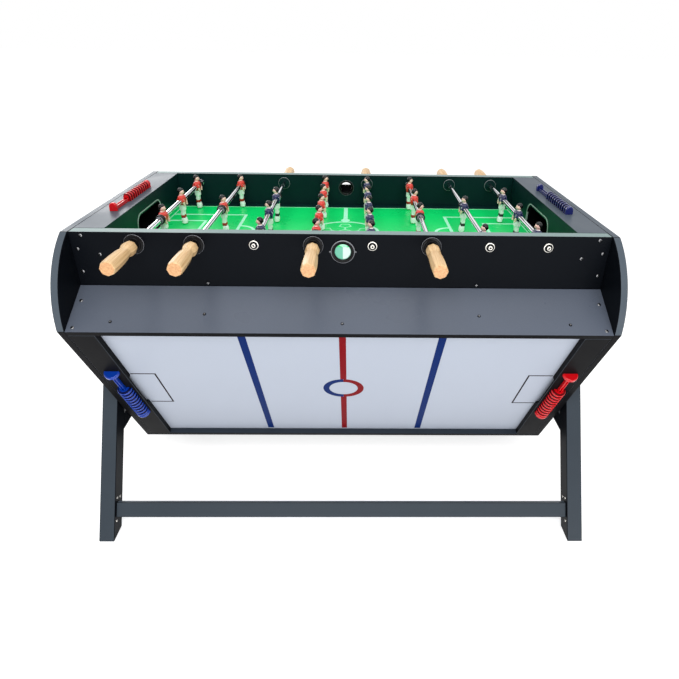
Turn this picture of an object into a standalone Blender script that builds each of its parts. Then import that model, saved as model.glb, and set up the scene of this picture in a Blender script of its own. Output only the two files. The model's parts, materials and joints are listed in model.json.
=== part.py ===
"""Rotating three-in-one games table.

A three-sided cabinet turns about a level axle between two A-frames.  One face is
table football with eight telescopic rods, the next is table hockey, and the third
is a small pool table.  Units are metres, +Z is up, X runs along the table, and the
player in front stands at -Y.  The origin is on the floor under the axle.
"""
import math

import bmesh
import bpy

# Cabinet
table_length = 1.220
table_width = 0.610
apron_depth = 0.125
pivot_height = 0.537
end_panel_thickness = 0.016
lobe_rise = 0.030
seat_gap = 0.0003
cut_overrun = 0.004

# Football face
football_apron_thickness = 0.028
football_end_width = 0.068
football_well_depth = 0.0935
football_board_thickness = 0.006
football_rail_thickness = 0.016
goal_wall_thickness = 0.012
goal_width = 0.184
goal_height = 0.064
goal_corner_radius = 0.030

# Hockey face
hockey_apron_thickness = 0.015
hockey_end_width = 0.058
hockey_well_depth = 0.016
hockey_board_thickness = 0.009
hockey_goal_width = 0.150
hockey_goal_height = 0.009
hockey_goal_reach = 0.040

# Pool face
pool_apron_thickness = 0.015
pool_end_width = 0.059
pool_side_width = 0.055
pool_well_depth = 0.022
pool_board_thickness = 0.012
cushion_undercut = 0.006
pocket_radius = 0.027
corner_pocket_setback = 0.010
side_pocket_setback = 0.017
pocket_cup_wall = 0.003
pocket_cup_depth = 0.042

# Football rods
rod_end_space = 0.071
rod_drop = 0.026
tube_radius = 0.00635
core_radius = 0.0040
core_reach = 0.360
tube_bore_spare = 0.012
bumper_radius = 0.0120
bumper_length = 0.014
bumper_gap = 0.001
stop_gap = 0.0005

# Bushes in the apron on a rod's handle side
bush_flange_radius = 0.0220
bush_flange_height = 0.004
bush_boss_radius = 0.0150
bush_boss_height = 0.008
bush_inner_radius = 0.0180
bush_inner_height = 0.004

# Anchored end of each rod core
washer_radius = 0.0110
washer_thickness = 0.002
nut_radius = 0.0065
nut_thickness = 0.005
collar_radius = 0.0090
collar_thickness = 0.004

# Ball entry cups
cup_drop = 0.039
cup_clearance = 0.012
cup_flange_height = 0.005
cup_bore_share = 0.613

# Handles
handle_length = 0.127
handle_radius = 0.0165
handle_bore_depth = 0.108
handle_home_gap = 0.002

# Players: each line's play to either side of the middle, and the figure's own size
goal_line_play = 0.0807
back_line_play = 0.1197
middle_line_play = 0.0187
front_line_play = 0.0987
man_head_rise = 0.037
man_foot_drop = 0.062
man_width = 0.026
man_depth = 0.020

# How far each handle stands out from home at rest
handle_pull = 0.010

# Bead scorers
scorer_length = 0.246
scorer_height = 0.0195
football_scorer_half_width = 0.0095
hockey_scorer_half_width = 0.0185
scorer_cap_length = 0.010
scorer_track_width = 0.010
scorer_track_height = 0.009
bead_groove_depth = 0.0024
bead_pitch = 0.0148
bead_count = 10
football_scorer_inset = 0.0525
hockey_scorer_inset = 0.048

# Stand
leg_width = 0.041
leg_depth = 0.047
leg_clearance = 0.009
leg_lean = math.radians(30)
apex_rise = 0.1697
crossbar_height = 0.038
crossbar_level = 0.233
stretcher_height = 0.040
stretcher_thickness = 0.018
stretcher_setback = 0.008
stretcher_level = 0.063
bracket_thickness = 0.004
bracket_above = 0.045
bracket_below = 0.072
bracket_edge = 0.006
axle_radius = 0.0100
axle_end_length = 0.006
spacer_radius = 0.0180

# Lock pin
lock_circle_radius = 0.046
lock_pin_radius = 0.0050
lock_pin_chamfer = 0.0015
lock_engagement = 0.012
lock_nose_gap = 0.001
lock_sleeve_radius = 0.0090
lock_sleeve_length = 0.026
lock_knob_radius = 0.0150
lock_knob_length = 0.024
lock_neck_radius = 0.0080

# Facet counts
round_sides = 12
rod_sides = 8
handle_sides = 8
man_sides = 8
dome_steps = 6
arc_steps = 8

# Values that follow from the ones above
sixty = math.radians(60)
face_turn = 2 * sixty
half_length = table_length / 2
half_width = table_width / 2
inner_half = half_length - end_panel_thickness
board_half = inner_half - seat_gap
face_reach = apron_depth + half_width / math.tan(sixty)
football_inner = half_width - football_apron_thickness
hockey_inner = half_width - hockey_apron_thickness
pool_inner = half_width - pool_apron_thickness
football_opening_length = 2 * (inner_half - football_end_width)
hockey_opening_length = 2 * (inner_half - hockey_end_width)
pool_opening_length = 2 * (inner_half - pool_end_width)
pool_opening_width = 2 * (pool_inner - pool_side_width)
football_floor = face_reach - football_well_depth
hockey_floor = face_reach - hockey_well_depth
pool_floor = face_reach - pool_well_depth
rod_level = face_reach - rod_drop
cup_level = face_reach - cup_drop
near_stop = football_inner - bush_inner_height
far_stop = football_inner - seat_gap - collar_thickness
bumper_offset = man_width / 2 + bumper_gap + bumper_length / 2
handle_start = half_width + bush_boss_height + handle_home_gap + handle_pull
half_stance = (pivot_height + apex_rise) * math.tan(leg_lean)
leg_inner = half_length + leg_clearance
leg_outer = leg_inner + leg_width
bracket_inner = leg_outer + seat_gap
bracket_outer = bracket_inner + bracket_thickness
football_scorer_place = half_length - football_scorer_inset
hockey_scorer_place = half_length - hockey_scorer_inset
weld_distance = seat_gap / 10

# Rods from left to right: handle side (-1 front, 1 rear), players and their play
rods = [
    (-1, 3, goal_line_play),
    (-1, 2, back_line_play),
    (1, 3, front_line_play),
    (-1, 5, middle_line_play),
    (1, 5, middle_line_play),
    (-1, 3, front_line_play),
    (1, 2, back_line_play),
    (1, 3, goal_line_play),
]
rod_spacing = (football_opening_length - 2 * rod_end_space) / (len(rods) - 1)
cup_flange_radius = rod_spacing / 2 - bush_flange_radius - cup_clearance
cup_bore_radius = cup_bore_share * cup_flange_radius

# Where each row of players stands at rest, from the middle towards the side away from
# its handle, as a share of the play that its bumpers leave
rod_place_shares = [0.74, 0.97, 0.61, 0.93, -0.30, 0.86, 0.96, 0.72]

# A player from sole to crown: height as a share of the foot drop (negative) or of the
# head rise (positive), then width, depth and forward lean as shares of the figure's
man_shares = [
    (-1.00, 0.66, 1.10, 0.10),
    (-0.76, 0.54, 0.76, 0.06),
    (-0.66, 0.48, 0.60, 0.00),
    (-0.20, 0.84, 0.90, 0.00),
    (0.24, 1.00, 1.00, 0.00),
    (0.38, 0.42, 0.50, 0.03),
    (0.58, 0.64, 0.86, 0.06),
    (1.00, 0.40, 0.52, 0.02),
]

# A handle from its collar to its end: distance as a share of its length, and radius
# as a share of the grip's
handle_shares = [
    (0.00, 0.84), (0.03, 0.96), (0.17, 0.96), (0.29, 0.79), (0.52, 0.97), (0.94, 1.00), (1.00, 0.84),
]

# Football scorers' centres along the rail, as shares of the rail's half width
football_scorer_left_share = -0.075
football_scorer_right_share = -0.033


# Scene and mesh helpers

def clear_scene():
    for old in list(bpy.data.objects):
        bpy.data.objects.remove(old, do_unlink=True)


def finish(name, red, green, blue, roughness, metallic=0.0):
    material = bpy.data.materials.new(name)
    material.use_nodes = True
    shader = material.node_tree.nodes["Principled BSDF"]
    shader.inputs["Base Color"].default_value = (red, green, blue, 1.0)
    shader.inputs["Roughness"].default_value = roughness
    shader.inputs["Metallic"].default_value = metallic
    return material


def add_empty(name, parent=None, location=(0, 0, 0), rotation=(0, 0, 0)):
    empty = bpy.data.objects.new(name, None)
    empty.parent = parent
    empty.location = location
    empty.rotation_euler = rotation
    bpy.context.collection.objects.link(empty)
    return empty


def add_object(name, body, material, parent, location=(0, 0, 0), smooth=False):
    """Link a bmesh as one named object under its parent."""
    bmesh.ops.remove_doubles(body, verts=body.verts, dist=weld_distance)
    bmesh.ops.recalc_face_normals(body, faces=body.faces)
    mesh = bpy.data.meshes.new(name)
    body.to_mesh(mesh)
    body.free()
    if material:
        mesh.materials.append(material)
    if smooth:
        mesh.shade_smooth()
        mesh.set_sharp_from_angle(angle=sixty / 2)
    thing = bpy.data.objects.new(name, mesh)
    thing.parent = parent
    thing.location = location
    bpy.context.collection.objects.link(thing)
    return thing


def combine(thing, operation, bodies):
    """Join separate shapes to an object, or cut them out of it."""
    tool = add_object(thing.name + "_" + operation.lower(), gathered(bodies), None, thing)
    tool.hide_render = True
    tool.display_type = "WIRE"
    change = thing.modifiers.new(operation.lower(), "BOOLEAN")
    change.operation = operation
    change.solver = "EXACT"
    change.object = tool


def gathered(bodies):
    """Several separate shapes in one bmesh."""
    whole = bmesh.new()
    for body in bodies:
        piece = bpy.data.meshes.new("piece")
        body.to_mesh(piece)
        body.free()
        whole.from_mesh(piece)
        bpy.data.meshes.remove(piece)
    return whole


def skin(rings, closed_loop=False):
    """A solid through rings of points that all have the same count."""
    body = bmesh.new()
    levels = [[body.verts.new(point) for point in ring] for ring in rings]
    pairs = list(zip(levels, levels[1:]))
    if closed_loop:
        pairs.append((levels[-1], levels[0]))
    else:
        body.faces.new(levels[0])
        body.faces.new(levels[-1])
    for lower, upper in pairs:
        for here in range(len(lower)):
            after = (here + 1) % len(lower)
            body.faces.new((lower[here], lower[after], upper[after], upper[here]))
    bmesh.ops.recalc_face_normals(body, faces=body.faces)
    return body


def placed(axis, along, across, up):
    """A point whose distance along one axis comes first."""
    if axis == "X":
        return (along, across, up)
    if axis == "Y":
        return (across, along, up)
    return (across, up, along)


def prism(axis, outline, start, end):
    """A prism along an axis; its outline holds pairs of the two other coordinates."""
    return skin([[placed(axis, along, *pair) for pair in outline] for along in (start, end)])


def box_outline(low, high, bottom, top):
    return [(low, bottom), (high, bottom), (high, top), (low, top)]


def block(x_range, y_range, z_range):
    return prism("X", box_outline(*y_range, *z_range), *x_range)


def turned(axis, profile, sides, closed_loop=False):
    """A turned solid; its profile holds (radius, distance along the axis) pairs."""
    turns = [2 * math.pi * (step + 0.5) / sides for step in range(sides)]
    rings = [[placed(axis, along, radius * math.cos(turn), radius * math.sin(turn)) for turn in turns]
             for radius, along in profile]
    return skin(rings, closed_loop)


def cylinder(axis, radius, start, end, sides):
    return turned(axis, [(radius, start), (radius, end)], sides)


def shifted(body, offset):
    bmesh.ops.translate(body, verts=body.verts, vec=offset)
    return body


def bore_radius(radius, sides):
    """A faceted bore's corner radius that leaves the seat gap round a shaft."""
    return (radius + seat_gap) / math.cos(math.pi / sides)


def mirrored(outline, side):
    return [(side * across, up) for across, up in outline]


# Rod positions

def rod_x(index):
    return (index - (len(rods) - 1) / 2) * rod_spacing


def rod_play(index):
    """How far a row of players can stand off the middle of the pitch."""
    return rods[index][2]


def rod_reach(index):
    """From the middle of a row of players to the outer face of an end bumper."""
    return far_stop - rod_play(index)


def man_spacing(index):
    """Between the players of a row that reaches that far."""
    return 2 * (rod_reach(index) - bumper_offset - bumper_length / 2) / (rods[index][1] - 1)


def rod_place(index):
    return rod_place_shares[index] * rod_play(index)


def push_travel(index):
    """How far a rod slides in from rest, to its handle's or its far bumper's stop."""
    return max(min(handle_pull, rod_play(index) - rod_place(index)) - stop_gap, 0)


def pull_travel(index):
    """How far a rod slides out from rest, until its near bumper meets the bush."""
    return near_stop - rod_reach(index) + rod_place(index) - stop_gap


# Cabinet

def apron_outline(side, thickness):
    """An apron's section, mitred where two faces of the cabinet meet."""
    mitre_gap = seat_gap / (2 * math.sin(sixty))
    inner = half_width - thickness
    corner = half_width / math.tan(sixty) + mitre_gap
    inner_corner = inner / math.tan(sixty) + mitre_gap
    outline = [(half_width, face_reach), (half_width, corner), (inner, inner_corner), (inner, face_reach)]
    return mirrored(outline, side)


def add_apron(name, side, thickness, face, material):
    board = prism("X", apron_outline(side, thickness), -board_half, board_half)
    return add_object(name, board, material, face)


def bush(side, x):
    """A flanged bush through the apron, with a shallow flange inside."""
    sunk = bush_inner_height / 2
    profile = [
        (bush_inner_radius, side * (football_inner - bush_inner_height)),
        (bush_inner_radius, side * (football_inner + sunk)),
        (bush_boss_radius, side * (football_inner + sunk)),
        (bush_boss_radius, side * (half_width - sunk)),
        (bush_flange_radius, side * (half_width - sunk)),
        (bush_flange_radius, side * (half_width + bush_flange_height)),
        (bush_boss_radius, side * (half_width + bush_flange_height)),
        (bush_boss_radius, side * (half_width + bush_boss_height)),
    ]
    return shifted(turned("Y", profile, round_sides), (x, 0, rod_level))


def through_hole(side, x, radius, sides, level):
    """A cutter through an apron and all that stands proud of it."""
    start = side * (football_inner - bush_inner_height - cut_overrun)
    end = side * (half_width + bush_boss_height + cut_overrun)
    return shifted(cylinder("Y", radius, start, end, sides), (x, 0, level))


def add_football_apron(name, side, face, material):
    """An apron with a bush for each rod gripped on its side and a bore for the rest."""
    apron = add_apron(name, side, football_apron_thickness, face, material)
    proud = [bush(side, rod_x(index)) for index, rod in enumerate(rods) if rod[0] == side]
    cup = cylinder("Y", cup_flange_radius, side * (half_width - cup_flange_height),
                   side * (half_width + cup_flange_height), round_sides)
    proud.append(shifted(cup, (0, 0, cup_level)))
    combine(apron, "UNION", proud)
    holes = [through_hole(side, 0, cup_bore_radius, round_sides, cup_level)]
    for index, rod in enumerate(rods):
        shaft = tube_radius if rod[0] == side else core_radius
        holes.append(through_hole(side, rod_x(index), bore_radius(shaft, rod_sides), rod_sides, rod_level))
    combine(apron, "DIFFERENCE", holes)


def add_board(name, inner, floor, thickness, face, material):
    reach = inner - seat_gap
    return add_object(name, block((-board_half, board_half), (-reach, reach), (floor - thickness, floor)),
                      material, face)


def arch_outline(half_span, bottom, top, radius):
    """An arch with rounded upper corners, from one foot round to the other."""
    outline = [(half_span, bottom)]
    for side in (1, -1):
        for step in range(arc_steps // 2 + 1):
            turn = math.pi * step / arc_steps
            if side < 0:
                turn = math.pi / 2 - turn
            outline.append((side * (half_span - radius + radius * math.cos(turn)),
                            top - radius + radius * math.sin(turn)))
    outline.append((-half_span, bottom))
    return outline


def add_football_end(name, side, face, material):
    """The end rail with the goal wall that hangs from its inner edge."""
    inner = football_opening_length / 2
    wall = inner + goal_wall_thickness
    foot = football_floor + seat_gap
    underside = face_reach - football_rail_thickness
    outline = [(inner, face_reach), (board_half, face_reach), (board_half, underside),
               (wall, underside), (wall, foot), (inner, foot)]
    reach = football_inner - seat_gap
    end = add_object(name, prism("Y", mirrored(outline, side), -reach, reach), material, face)
    arch = arch_outline(goal_width / 2, foot - cut_overrun, foot + goal_height, goal_corner_radius)
    combine(end, "DIFFERENCE", [prism("X", arch, side * (inner - cut_overrun), side * (wall + cut_overrun))])


def add_hockey_end(name, side, face, material):
    """The end rail with the low goal slot in its underside."""
    inner = hockey_opening_length / 2
    foot = hockey_floor + seat_gap
    reach = hockey_inner - seat_gap
    outline = box_outline(inner, board_half, foot, face_reach)
    end = add_object(name, prism("Y", mirrored(outline, side), -reach, reach), material, face)
    slot = box_outline(inner - cut_overrun, inner + hockey_goal_reach,
                       foot - cut_overrun, foot + hockey_goal_height)
    wide = hockey_goal_width / 2
    combine(end, "DIFFERENCE", [prism("Y", mirrored(slot, side), -wide, wide)])


def pocket_places():
    corner_x = pool_opening_length / 2 + corner_pocket_setback
    corner_y = pool_opening_width / 2 + corner_pocket_setback
    side_y = pool_opening_width / 2 + side_pocket_setback
    corners = [(x, y) for x in (-corner_x, corner_x) for y in (-corner_y, corner_y)]
    return corners + [(0, -side_y), (0, side_y)]


def pocket_cylinders(radius, bottom, top, sides):
    return [shifted(cylinder("Z", radius, bottom, top, sides), (x, y, 0)) for x, y in pocket_places()]


def add_pool_bed(face, material):
    """The bed board with a round cup under each pocket."""
    bed = add_board("pool_bed", pool_inner, pool_floor, pool_board_thickness, face, material)
    underside = pool_floor - pool_board_thickness
    cup_floor = underside - pocket_cup_depth
    middle = pool_floor - pool_board_thickness / 2
    outside = (pocket_radius + pocket_cup_wall) / math.cos(math.pi / rod_sides)
    combine(bed, "UNION", pocket_cylinders(outside, cup_floor, middle, rod_sides))
    combine(bed, "DIFFERENCE",
            pocket_cylinders(pocket_radius, cup_floor + pocket_cup_wall, pool_floor + cut_overrun,
                             round_sides))


def add_pool_rails(face, material):
    """One frame of rails with undercut cushions and six pockets."""
    reach = pool_inner - seat_gap
    foot = pool_floor + seat_gap
    frame = add_object("pool_rail_frame",
                       block((-board_half, board_half), (-reach, reach), (foot, face_reach)),
                       material, face)
    slope = cushion_undercut / (face_reach - foot)
    rings = []
    for level in (foot - cut_overrun, face_reach + cut_overrun):
        spread = (face_reach - level) * slope
        half_x = pool_opening_length / 2 + spread
        half_y = pool_opening_width / 2 + spread
        rings.append([(x, y, level) for x, y in box_outline(-half_x, half_x, -half_y, half_y)])
    combine(frame, "DIFFERENCE", [skin(rings)])
    combine(frame, "DIFFERENCE",
            pocket_cylinders(pocket_radius, foot - cut_overrun, face_reach + cut_overrun, round_sides))


def turned_point(across, up, turn):
    return (across * math.cos(turn) - up * math.sin(turn), across * math.sin(turn) + up * math.cos(turn))


def panel_outline():
    """Three straight rims joined by bowed lobes, as pairs of y and z about the axle."""
    chord = half_width * math.sin(sixty) + face_reach * math.cos(sixty)
    half_chord = face_reach * math.sin(sixty) - half_width * math.cos(sixty)
    radius = (half_chord ** 2 + lobe_rise ** 2) / (2 * lobe_rise)
    centre = chord + lobe_rise - radius
    spread = math.asin(half_chord / radius)
    outline = []
    for face in range(3):
        turn = face * face_turn
        outline.append(turned_point(half_width, face_reach, turn))
        outline.append(turned_point(-half_width, face_reach, turn))
        for step in range(1, arc_steps):
            lean = sixty + spread * (2 * step / arc_steps - 1)
            across = -centre * math.sin(sixty) - radius * math.sin(lean)
            up = centre * math.cos(sixty) + radius * math.cos(lean)
            outline.append(turned_point(across, up, turn))
    return outline


def add_end_panel(name, side, cabinet, material):
    """An end panel bored for the axle and for the lock pin's three places."""
    board = prism("X", panel_outline(), side * inner_half, side * half_length)
    panel = add_object(name, board, material, cabinet)
    start = side * (inner_half - cut_overrun)
    end = side * (half_length + cut_overrun)
    holes = [cylinder("X", bore_radius(axle_radius, round_sides), start, end, round_sides)]
    for place in range(3):
        across, up = turned_point(0, -lock_circle_radius, place * face_turn)
        hole = cylinder("X", bore_radius(lock_pin_radius, rod_sides), start, end, rod_sides)
        holes.append(shifted(hole, (0, across, up)))
    combine(panel, "DIFFERENCE", holes)


# Football rods

def player(centre):
    """One figure, facing +X, with its rod through the chest."""
    rings = []
    for height, width, depth, lean in man_shares:
        up = height * (man_head_rise if height > 0 else man_foot_drop)
        rings.append([(depth * man_depth / 2 * math.cos(turn) + lean * man_depth,
                       centre + width * man_width / 2 * math.sin(turn), up)
                      for turn in [2 * math.pi * (step + 0.5) / man_sides for step in range(man_sides)]])
    return skin(rings)


def add_rod_core(index, axis, material):
    """The inner rod, held in the far apron by a collar inside and a washer outside."""
    profile = [
        (core_radius, football_inner - core_reach),
        (core_radius, far_stop),
        (collar_radius, far_stop),
        (collar_radius, far_stop + collar_thickness),
        (core_radius, far_stop + collar_thickness),
        (core_radius, half_width + seat_gap),
        (washer_radius, half_width + seat_gap),
        (washer_radius, half_width + seat_gap + washer_thickness),
        (nut_radius, half_width + seat_gap + washer_thickness),
        (nut_radius, half_width + seat_gap + washer_thickness + nut_thickness),
    ]
    add_object("rod_core_%d" % (index + 1), turned("Y", profile, rod_sides), material, axis, smooth=True)


def add_rod_men(index, axis, material):
    """The sliding tube with its players and end bumpers."""
    count = rods[index][1]
    tube_start = -(handle_start + handle_bore_depth - seat_gap)
    tube_end = far_stop - push_travel(index) - stop_gap
    place = rod_place(index)
    row = add_object("rod_men_%d" % (index + 1), cylinder("Y", tube_radius, tube_start, tube_end, rod_sides),
                     material, axis, smooth=True)
    figures = [player(place + (man - (count - 1) / 2) * man_spacing(index)) for man in range(count)]
    for end in (-1, 1):
        outer = place + end * rod_reach(index)
        figures.append(cylinder("Y", bumper_radius, outer - end * bumper_length, outer, rod_sides))
    combine(row, "UNION", figures)
    bore_end = football_inner - core_reach - push_travel(index) - tube_bore_spare
    bore = cylinder("Y", bore_radius(core_radius, rod_sides), bore_end, tube_end + cut_overrun, rod_sides)
    combine(row, "DIFFERENCE", [bore])


def add_handle(index, axis, material):
    """An eight-sided waisted grip, bored for the tube's end."""
    profile = [(radius * handle_radius, -(handle_start + along * handle_length))
               for along, radius in handle_shares]
    grip = add_object("handle_%d" % (index + 1), turned("Y", profile, handle_sides), material, axis)
    bore = cylinder("Y", bore_radius(tube_radius, rod_sides), cut_overrun - handle_start,
                    -(handle_start + handle_bore_depth), rod_sides)
    combine(grip, "DIFFERENCE", [bore])


def add_rod(index, face, steel, shirts, wood):
    """A rod on its own axis; one gripped from the rear is the same rod turned about."""
    side = rods[index][0]
    half_turn = math.pi if side > 0 else 0
    axis = add_empty("rod_axis_%d" % (index + 1), face, (rod_x(index), 0, rod_level), (0, 0, half_turn))
    add_rod_core(index, axis, steel)
    add_rod_men(index, axis, shirts[side])
    add_handle(index, axis, wood)


# Bead scorers

def dome(spread, height):
    """A round-topped section on a flat foot, from one side over to the other."""
    spring = height - spread
    turns = [math.pi * step / dome_steps for step in range(dome_steps + 1)]
    top = [(spread * math.cos(turn), spring + spread * math.sin(turn)) for turn in turns]
    return [(spread, 0)] + top + [(-spread, 0)] if spring > seat_gap else top


def add_scorer(name, x, centre_share, rest_end, spread, face, material):
    """A track between two round-topped caps, and ten ribbed beads that slide along it."""
    axis = add_empty(name + "_axis", face, (x, centre_share * half_width, face_reach + seat_gap))
    half = scorer_length / 2
    track = scorer_track_width / 2
    inside = half - scorer_cap_length / 2
    rail = block((-track, track), (-inside, inside), (0, scorer_track_height))
    base = add_object(name, rail, material, axis)
    cap = dome(spread, scorer_height)
    combine(base, "UNION", [prism("Y", cap, end * (half - scorer_cap_length), end * half) for end in (-1, 1)])
    start = rest_end * (half - scorer_cap_length - seat_gap)
    add_object(name + "_beads", bead_sleeve(start, -rest_end, spread), material, axis, smooth=True)


def bead_ring(spread, drop, along):
    """The beads' section at one place: round-topped, and hollowed over the track."""
    side = scorer_track_width / 2 + seat_gap
    crown = scorer_track_height + seat_gap
    outline = dome(spread - drop, scorer_height - drop)
    outline += [(-side, 0), (-side, crown), (side, crown), (side, 0)]
    return [placed("Y", along, *pair) for pair in outline]


def bead_sleeve(start, direction, spread):
    """Ten beads in a row on one sleeve."""
    rings = [bead_ring(spread, bead_groove_depth, start)]
    for bead in range(bead_count):
        rings.append(bead_ring(spread, 0, start + direction * bead_pitch * (bead + 1 / 2)))
        rings.append(bead_ring(spread, bead_groove_depth, start + direction * bead_pitch * (bead + 1)))
    return skin(rings)


def bead_travel():
    """The track that the beads leave free."""
    return scorer_length - 2 * scorer_cap_length - bead_pitch * bead_count - 2 * seat_gap - stop_gap


# Stand

def leg_face(level, depth):
    """Distance from the middle to a leg's slope, a set depth behind its outer slope."""
    return half_stance - depth / math.cos(leg_lean) - level * math.tan(leg_lean)


def leg_level(across, depth):
    """Height at which that slope reaches a distance from the middle."""
    return (half_stance - depth / math.cos(leg_lean) - across) / math.tan(leg_lean)


def add_leg(name, side, end, stand, material):
    """A leg cut level at the floor and upright where it meets its partner."""
    meet = seat_gap / 2
    outline = [(leg_face(0, 0), 0), (meet, leg_level(meet, 0)),
               (meet, leg_level(meet, leg_depth)), (leg_face(0, leg_depth), 0)]
    add_object(name, prism("X", mirrored(outline, side), end * leg_inner, end * leg_outer), material, stand)


def add_crossbar(name, end, stand, material):
    top = crossbar_level + crossbar_height
    seat = leg_depth + seat_gap
    outline = [(-leg_face(crossbar_level, seat), crossbar_level),
               (leg_face(crossbar_level, seat), crossbar_level),
               (leg_face(top, seat), top), (-leg_face(top, seat), top)]
    add_object(name, prism("X", outline, end * leg_inner, end * leg_outer), material, stand)


def add_stretcher(name, side, stand, material):
    """A board between the two A-frames, leaning with the legs that hold it."""
    outline = []
    for along, depth in box_outline(stretcher_level, stretcher_level + stretcher_height,
                                    stretcher_setback, stretcher_setback + stretcher_thickness):
        across = half_stance - along * math.sin(leg_lean) - depth * math.cos(leg_lean)
        up = along * math.cos(leg_lean) - depth * math.sin(leg_lean)
        outline.append((side * across, up))
    reach = leg_inner - seat_gap
    add_object(name, prism("X", outline, -reach, reach), material, stand)


def add_pivot_bracket(name, end, stand, material):
    """A plate across the legs' outer faces with the axle and the lock's sleeve welded on."""
    top = pivot_height + bracket_above
    foot = pivot_height - bracket_below
    wide = leg_face(foot, 0) - bracket_edge
    narrow = leg_face(top, 0) - bracket_edge
    outline = [(-wide, foot), (wide, foot), (narrow, top), (-narrow, top)]
    plate = add_object(name, prism("X", outline, end * bracket_inner, end * bracket_outer), material, stand)
    middle = bracket_inner + bracket_thickness / 2
    inside = inner_half - axle_end_length
    profile = [(axle_radius, end * inside), (axle_radius, end * (half_length + seat_gap)),
               (spacer_radius, end * (half_length + seat_gap)), (spacer_radius, end * leg_inner),
               (axle_radius, end * leg_inner), (axle_radius, end * middle)]
    combine(plate, "UNION", [shifted(turned("X", profile, round_sides), (0, 0, pivot_height))])
    level = pivot_height - lock_circle_radius
    sleeve_start = bracket_inner - lock_sleeve_length
    sleeve = cylinder("X", lock_sleeve_radius, end * sleeve_start, end * middle, rod_sides)
    combine(plate, "UNION", [shifted(sleeve, (0, 0, level))])
    hole = cylinder("X", bore_radius(lock_pin_radius, rod_sides), end * (sleeve_start - cut_overrun),
                    end * (bracket_outer + cut_overrun), rod_sides)
    combine(plate, "DIFFERENCE", [shifted(hole, (0, 0, level))])


def add_lock_pin(name, end, stand, material):
    """A pin that holds the cabinet, drawn out of its hole, with its knob outside."""
    axis = add_empty(name + "_axis", stand, (0, 0, pivot_height - lock_circle_radius))
    nose = half_length + lock_nose_gap
    shoulder = bracket_outer + lock_engagement + lock_nose_gap + stop_gap
    knob_end = shoulder + lock_knob_length
    profile = [
        (lock_pin_radius - lock_pin_chamfer, end * nose),
        (lock_pin_radius, end * (nose + lock_pin_chamfer)),
        (lock_pin_radius, end * shoulder),
        (lock_neck_radius, end * shoulder),
        (lock_neck_radius, end * (shoulder + lock_knob_length / 4)),
        (lock_knob_radius, end * (shoulder + lock_knob_length / 2)),
        (lock_knob_radius, end * (knob_end - lock_pin_chamfer)),
        (lock_knob_radius - lock_pin_chamfer, end * knob_end),
    ]
    add_object(name, turned("X", profile, rod_sides), material, axis, smooth=True)


# Assembly

def build_football(face, finishes):
    black = finishes["black board"]
    add_football_apron("football_apron_front", -1, face, black)
    add_football_apron("football_apron_rear", 1, face, black)
    add_board("football_field", football_inner, football_floor, football_board_thickness, face,
              finishes["pitch"])
    add_football_end("football_end_left", -1, face, finishes["grey board"])
    add_football_end("football_end_right", 1, face, finishes["grey board"])
    shirts = {-1: finishes["red"], 1: finishes["blue"]}
    for index in range(len(rods)):
        add_rod(index, face, finishes["steel"], shirts, finishes["wood"])
    spread = football_scorer_half_width
    add_scorer("football_scorer_left", -football_scorer_place, football_scorer_left_share, 1, spread, face,
               finishes["red"])
    add_scorer("football_scorer_right", football_scorer_place, football_scorer_right_share, -1, spread, face,
               finishes["blue"])


def build_hockey(face, finishes):
    add_apron("hockey_apron_upper", 1, hockey_apron_thickness, face, finishes["grey board"])
    add_apron("hockey_apron_lower", -1, hockey_apron_thickness, face, finishes["grey board"])
    add_board("hockey_field", hockey_inner, hockey_floor, hockey_board_thickness, face, finishes["rink"])
    add_hockey_end("hockey_end_left", -1, face, finishes["black board"])
    add_hockey_end("hockey_end_right", 1, face, finishes["black board"])
    spread = hockey_scorer_half_width
    add_scorer("hockey_scorer_left", -hockey_scorer_place, 0, -1, spread, face, finishes["blue"])
    add_scorer("hockey_scorer_right", hockey_scorer_place, 0, -1, spread, face, finishes["red"])


def build_pool(face, finishes):
    add_apron("pool_apron_upper", -1, pool_apron_thickness, face, finishes["black board"])
    add_apron("pool_apron_lower", 1, pool_apron_thickness, face, finishes["black board"])
    add_pool_bed(face, finishes["cloth"])
    add_pool_rails(face, finishes["cloth"])


def build_stand(stand, finishes):
    grey = finishes["leg board"]
    for end, where in ((-1, "left"), (1, "right")):
        add_leg("leg_front_" + where, -1, end, stand, grey)
        add_leg("leg_rear_" + where, 1, end, stand, grey)
        add_crossbar("crossbar_" + where, end, stand, grey)
        add_pivot_bracket("pivot_bracket_" + where, end, stand, finishes["dark steel"])
        add_lock_pin("lock_pin_" + where, end, stand, finishes["black plastic"])
    add_stretcher("stretcher_front", -1, stand, grey)
    add_stretcher("stretcher_rear", 1, stand, grey)


def build_finishes():
    return {
        "black board": finish("black_board", 0.010, 0.011, 0.014, 0.45),
        "grey board": finish("grey_board", 0.140, 0.150, 0.170, 0.45),
        "leg board": finish("leg_board", 0.075, 0.088, 0.110, 0.45),
        "pitch": finish("pitch_green", 0.010, 0.560, 0.120, 0.40),
        "rink": finish("rink_white", 0.580, 0.600, 0.680, 0.35),
        "cloth": finish("pool_cloth", 0.010, 0.130, 0.060, 0.90),
        "steel": finish("steel", 0.620, 0.620, 0.640, 0.25, 1.0),
        "dark steel": finish("dark_steel", 0.060, 0.060, 0.065, 0.45, 1.0),
        "black plastic": finish("black_plastic", 0.012, 0.012, 0.013, 0.40),
        "red": finish("red_plastic", 0.520, 0.015, 0.025, 0.35),
        "blue": finish("blue_plastic", 0.015, 0.040, 0.400, 0.35),
        "wood": finish("pale_wood", 0.700, 0.480, 0.270, 0.50),
    }


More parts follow.
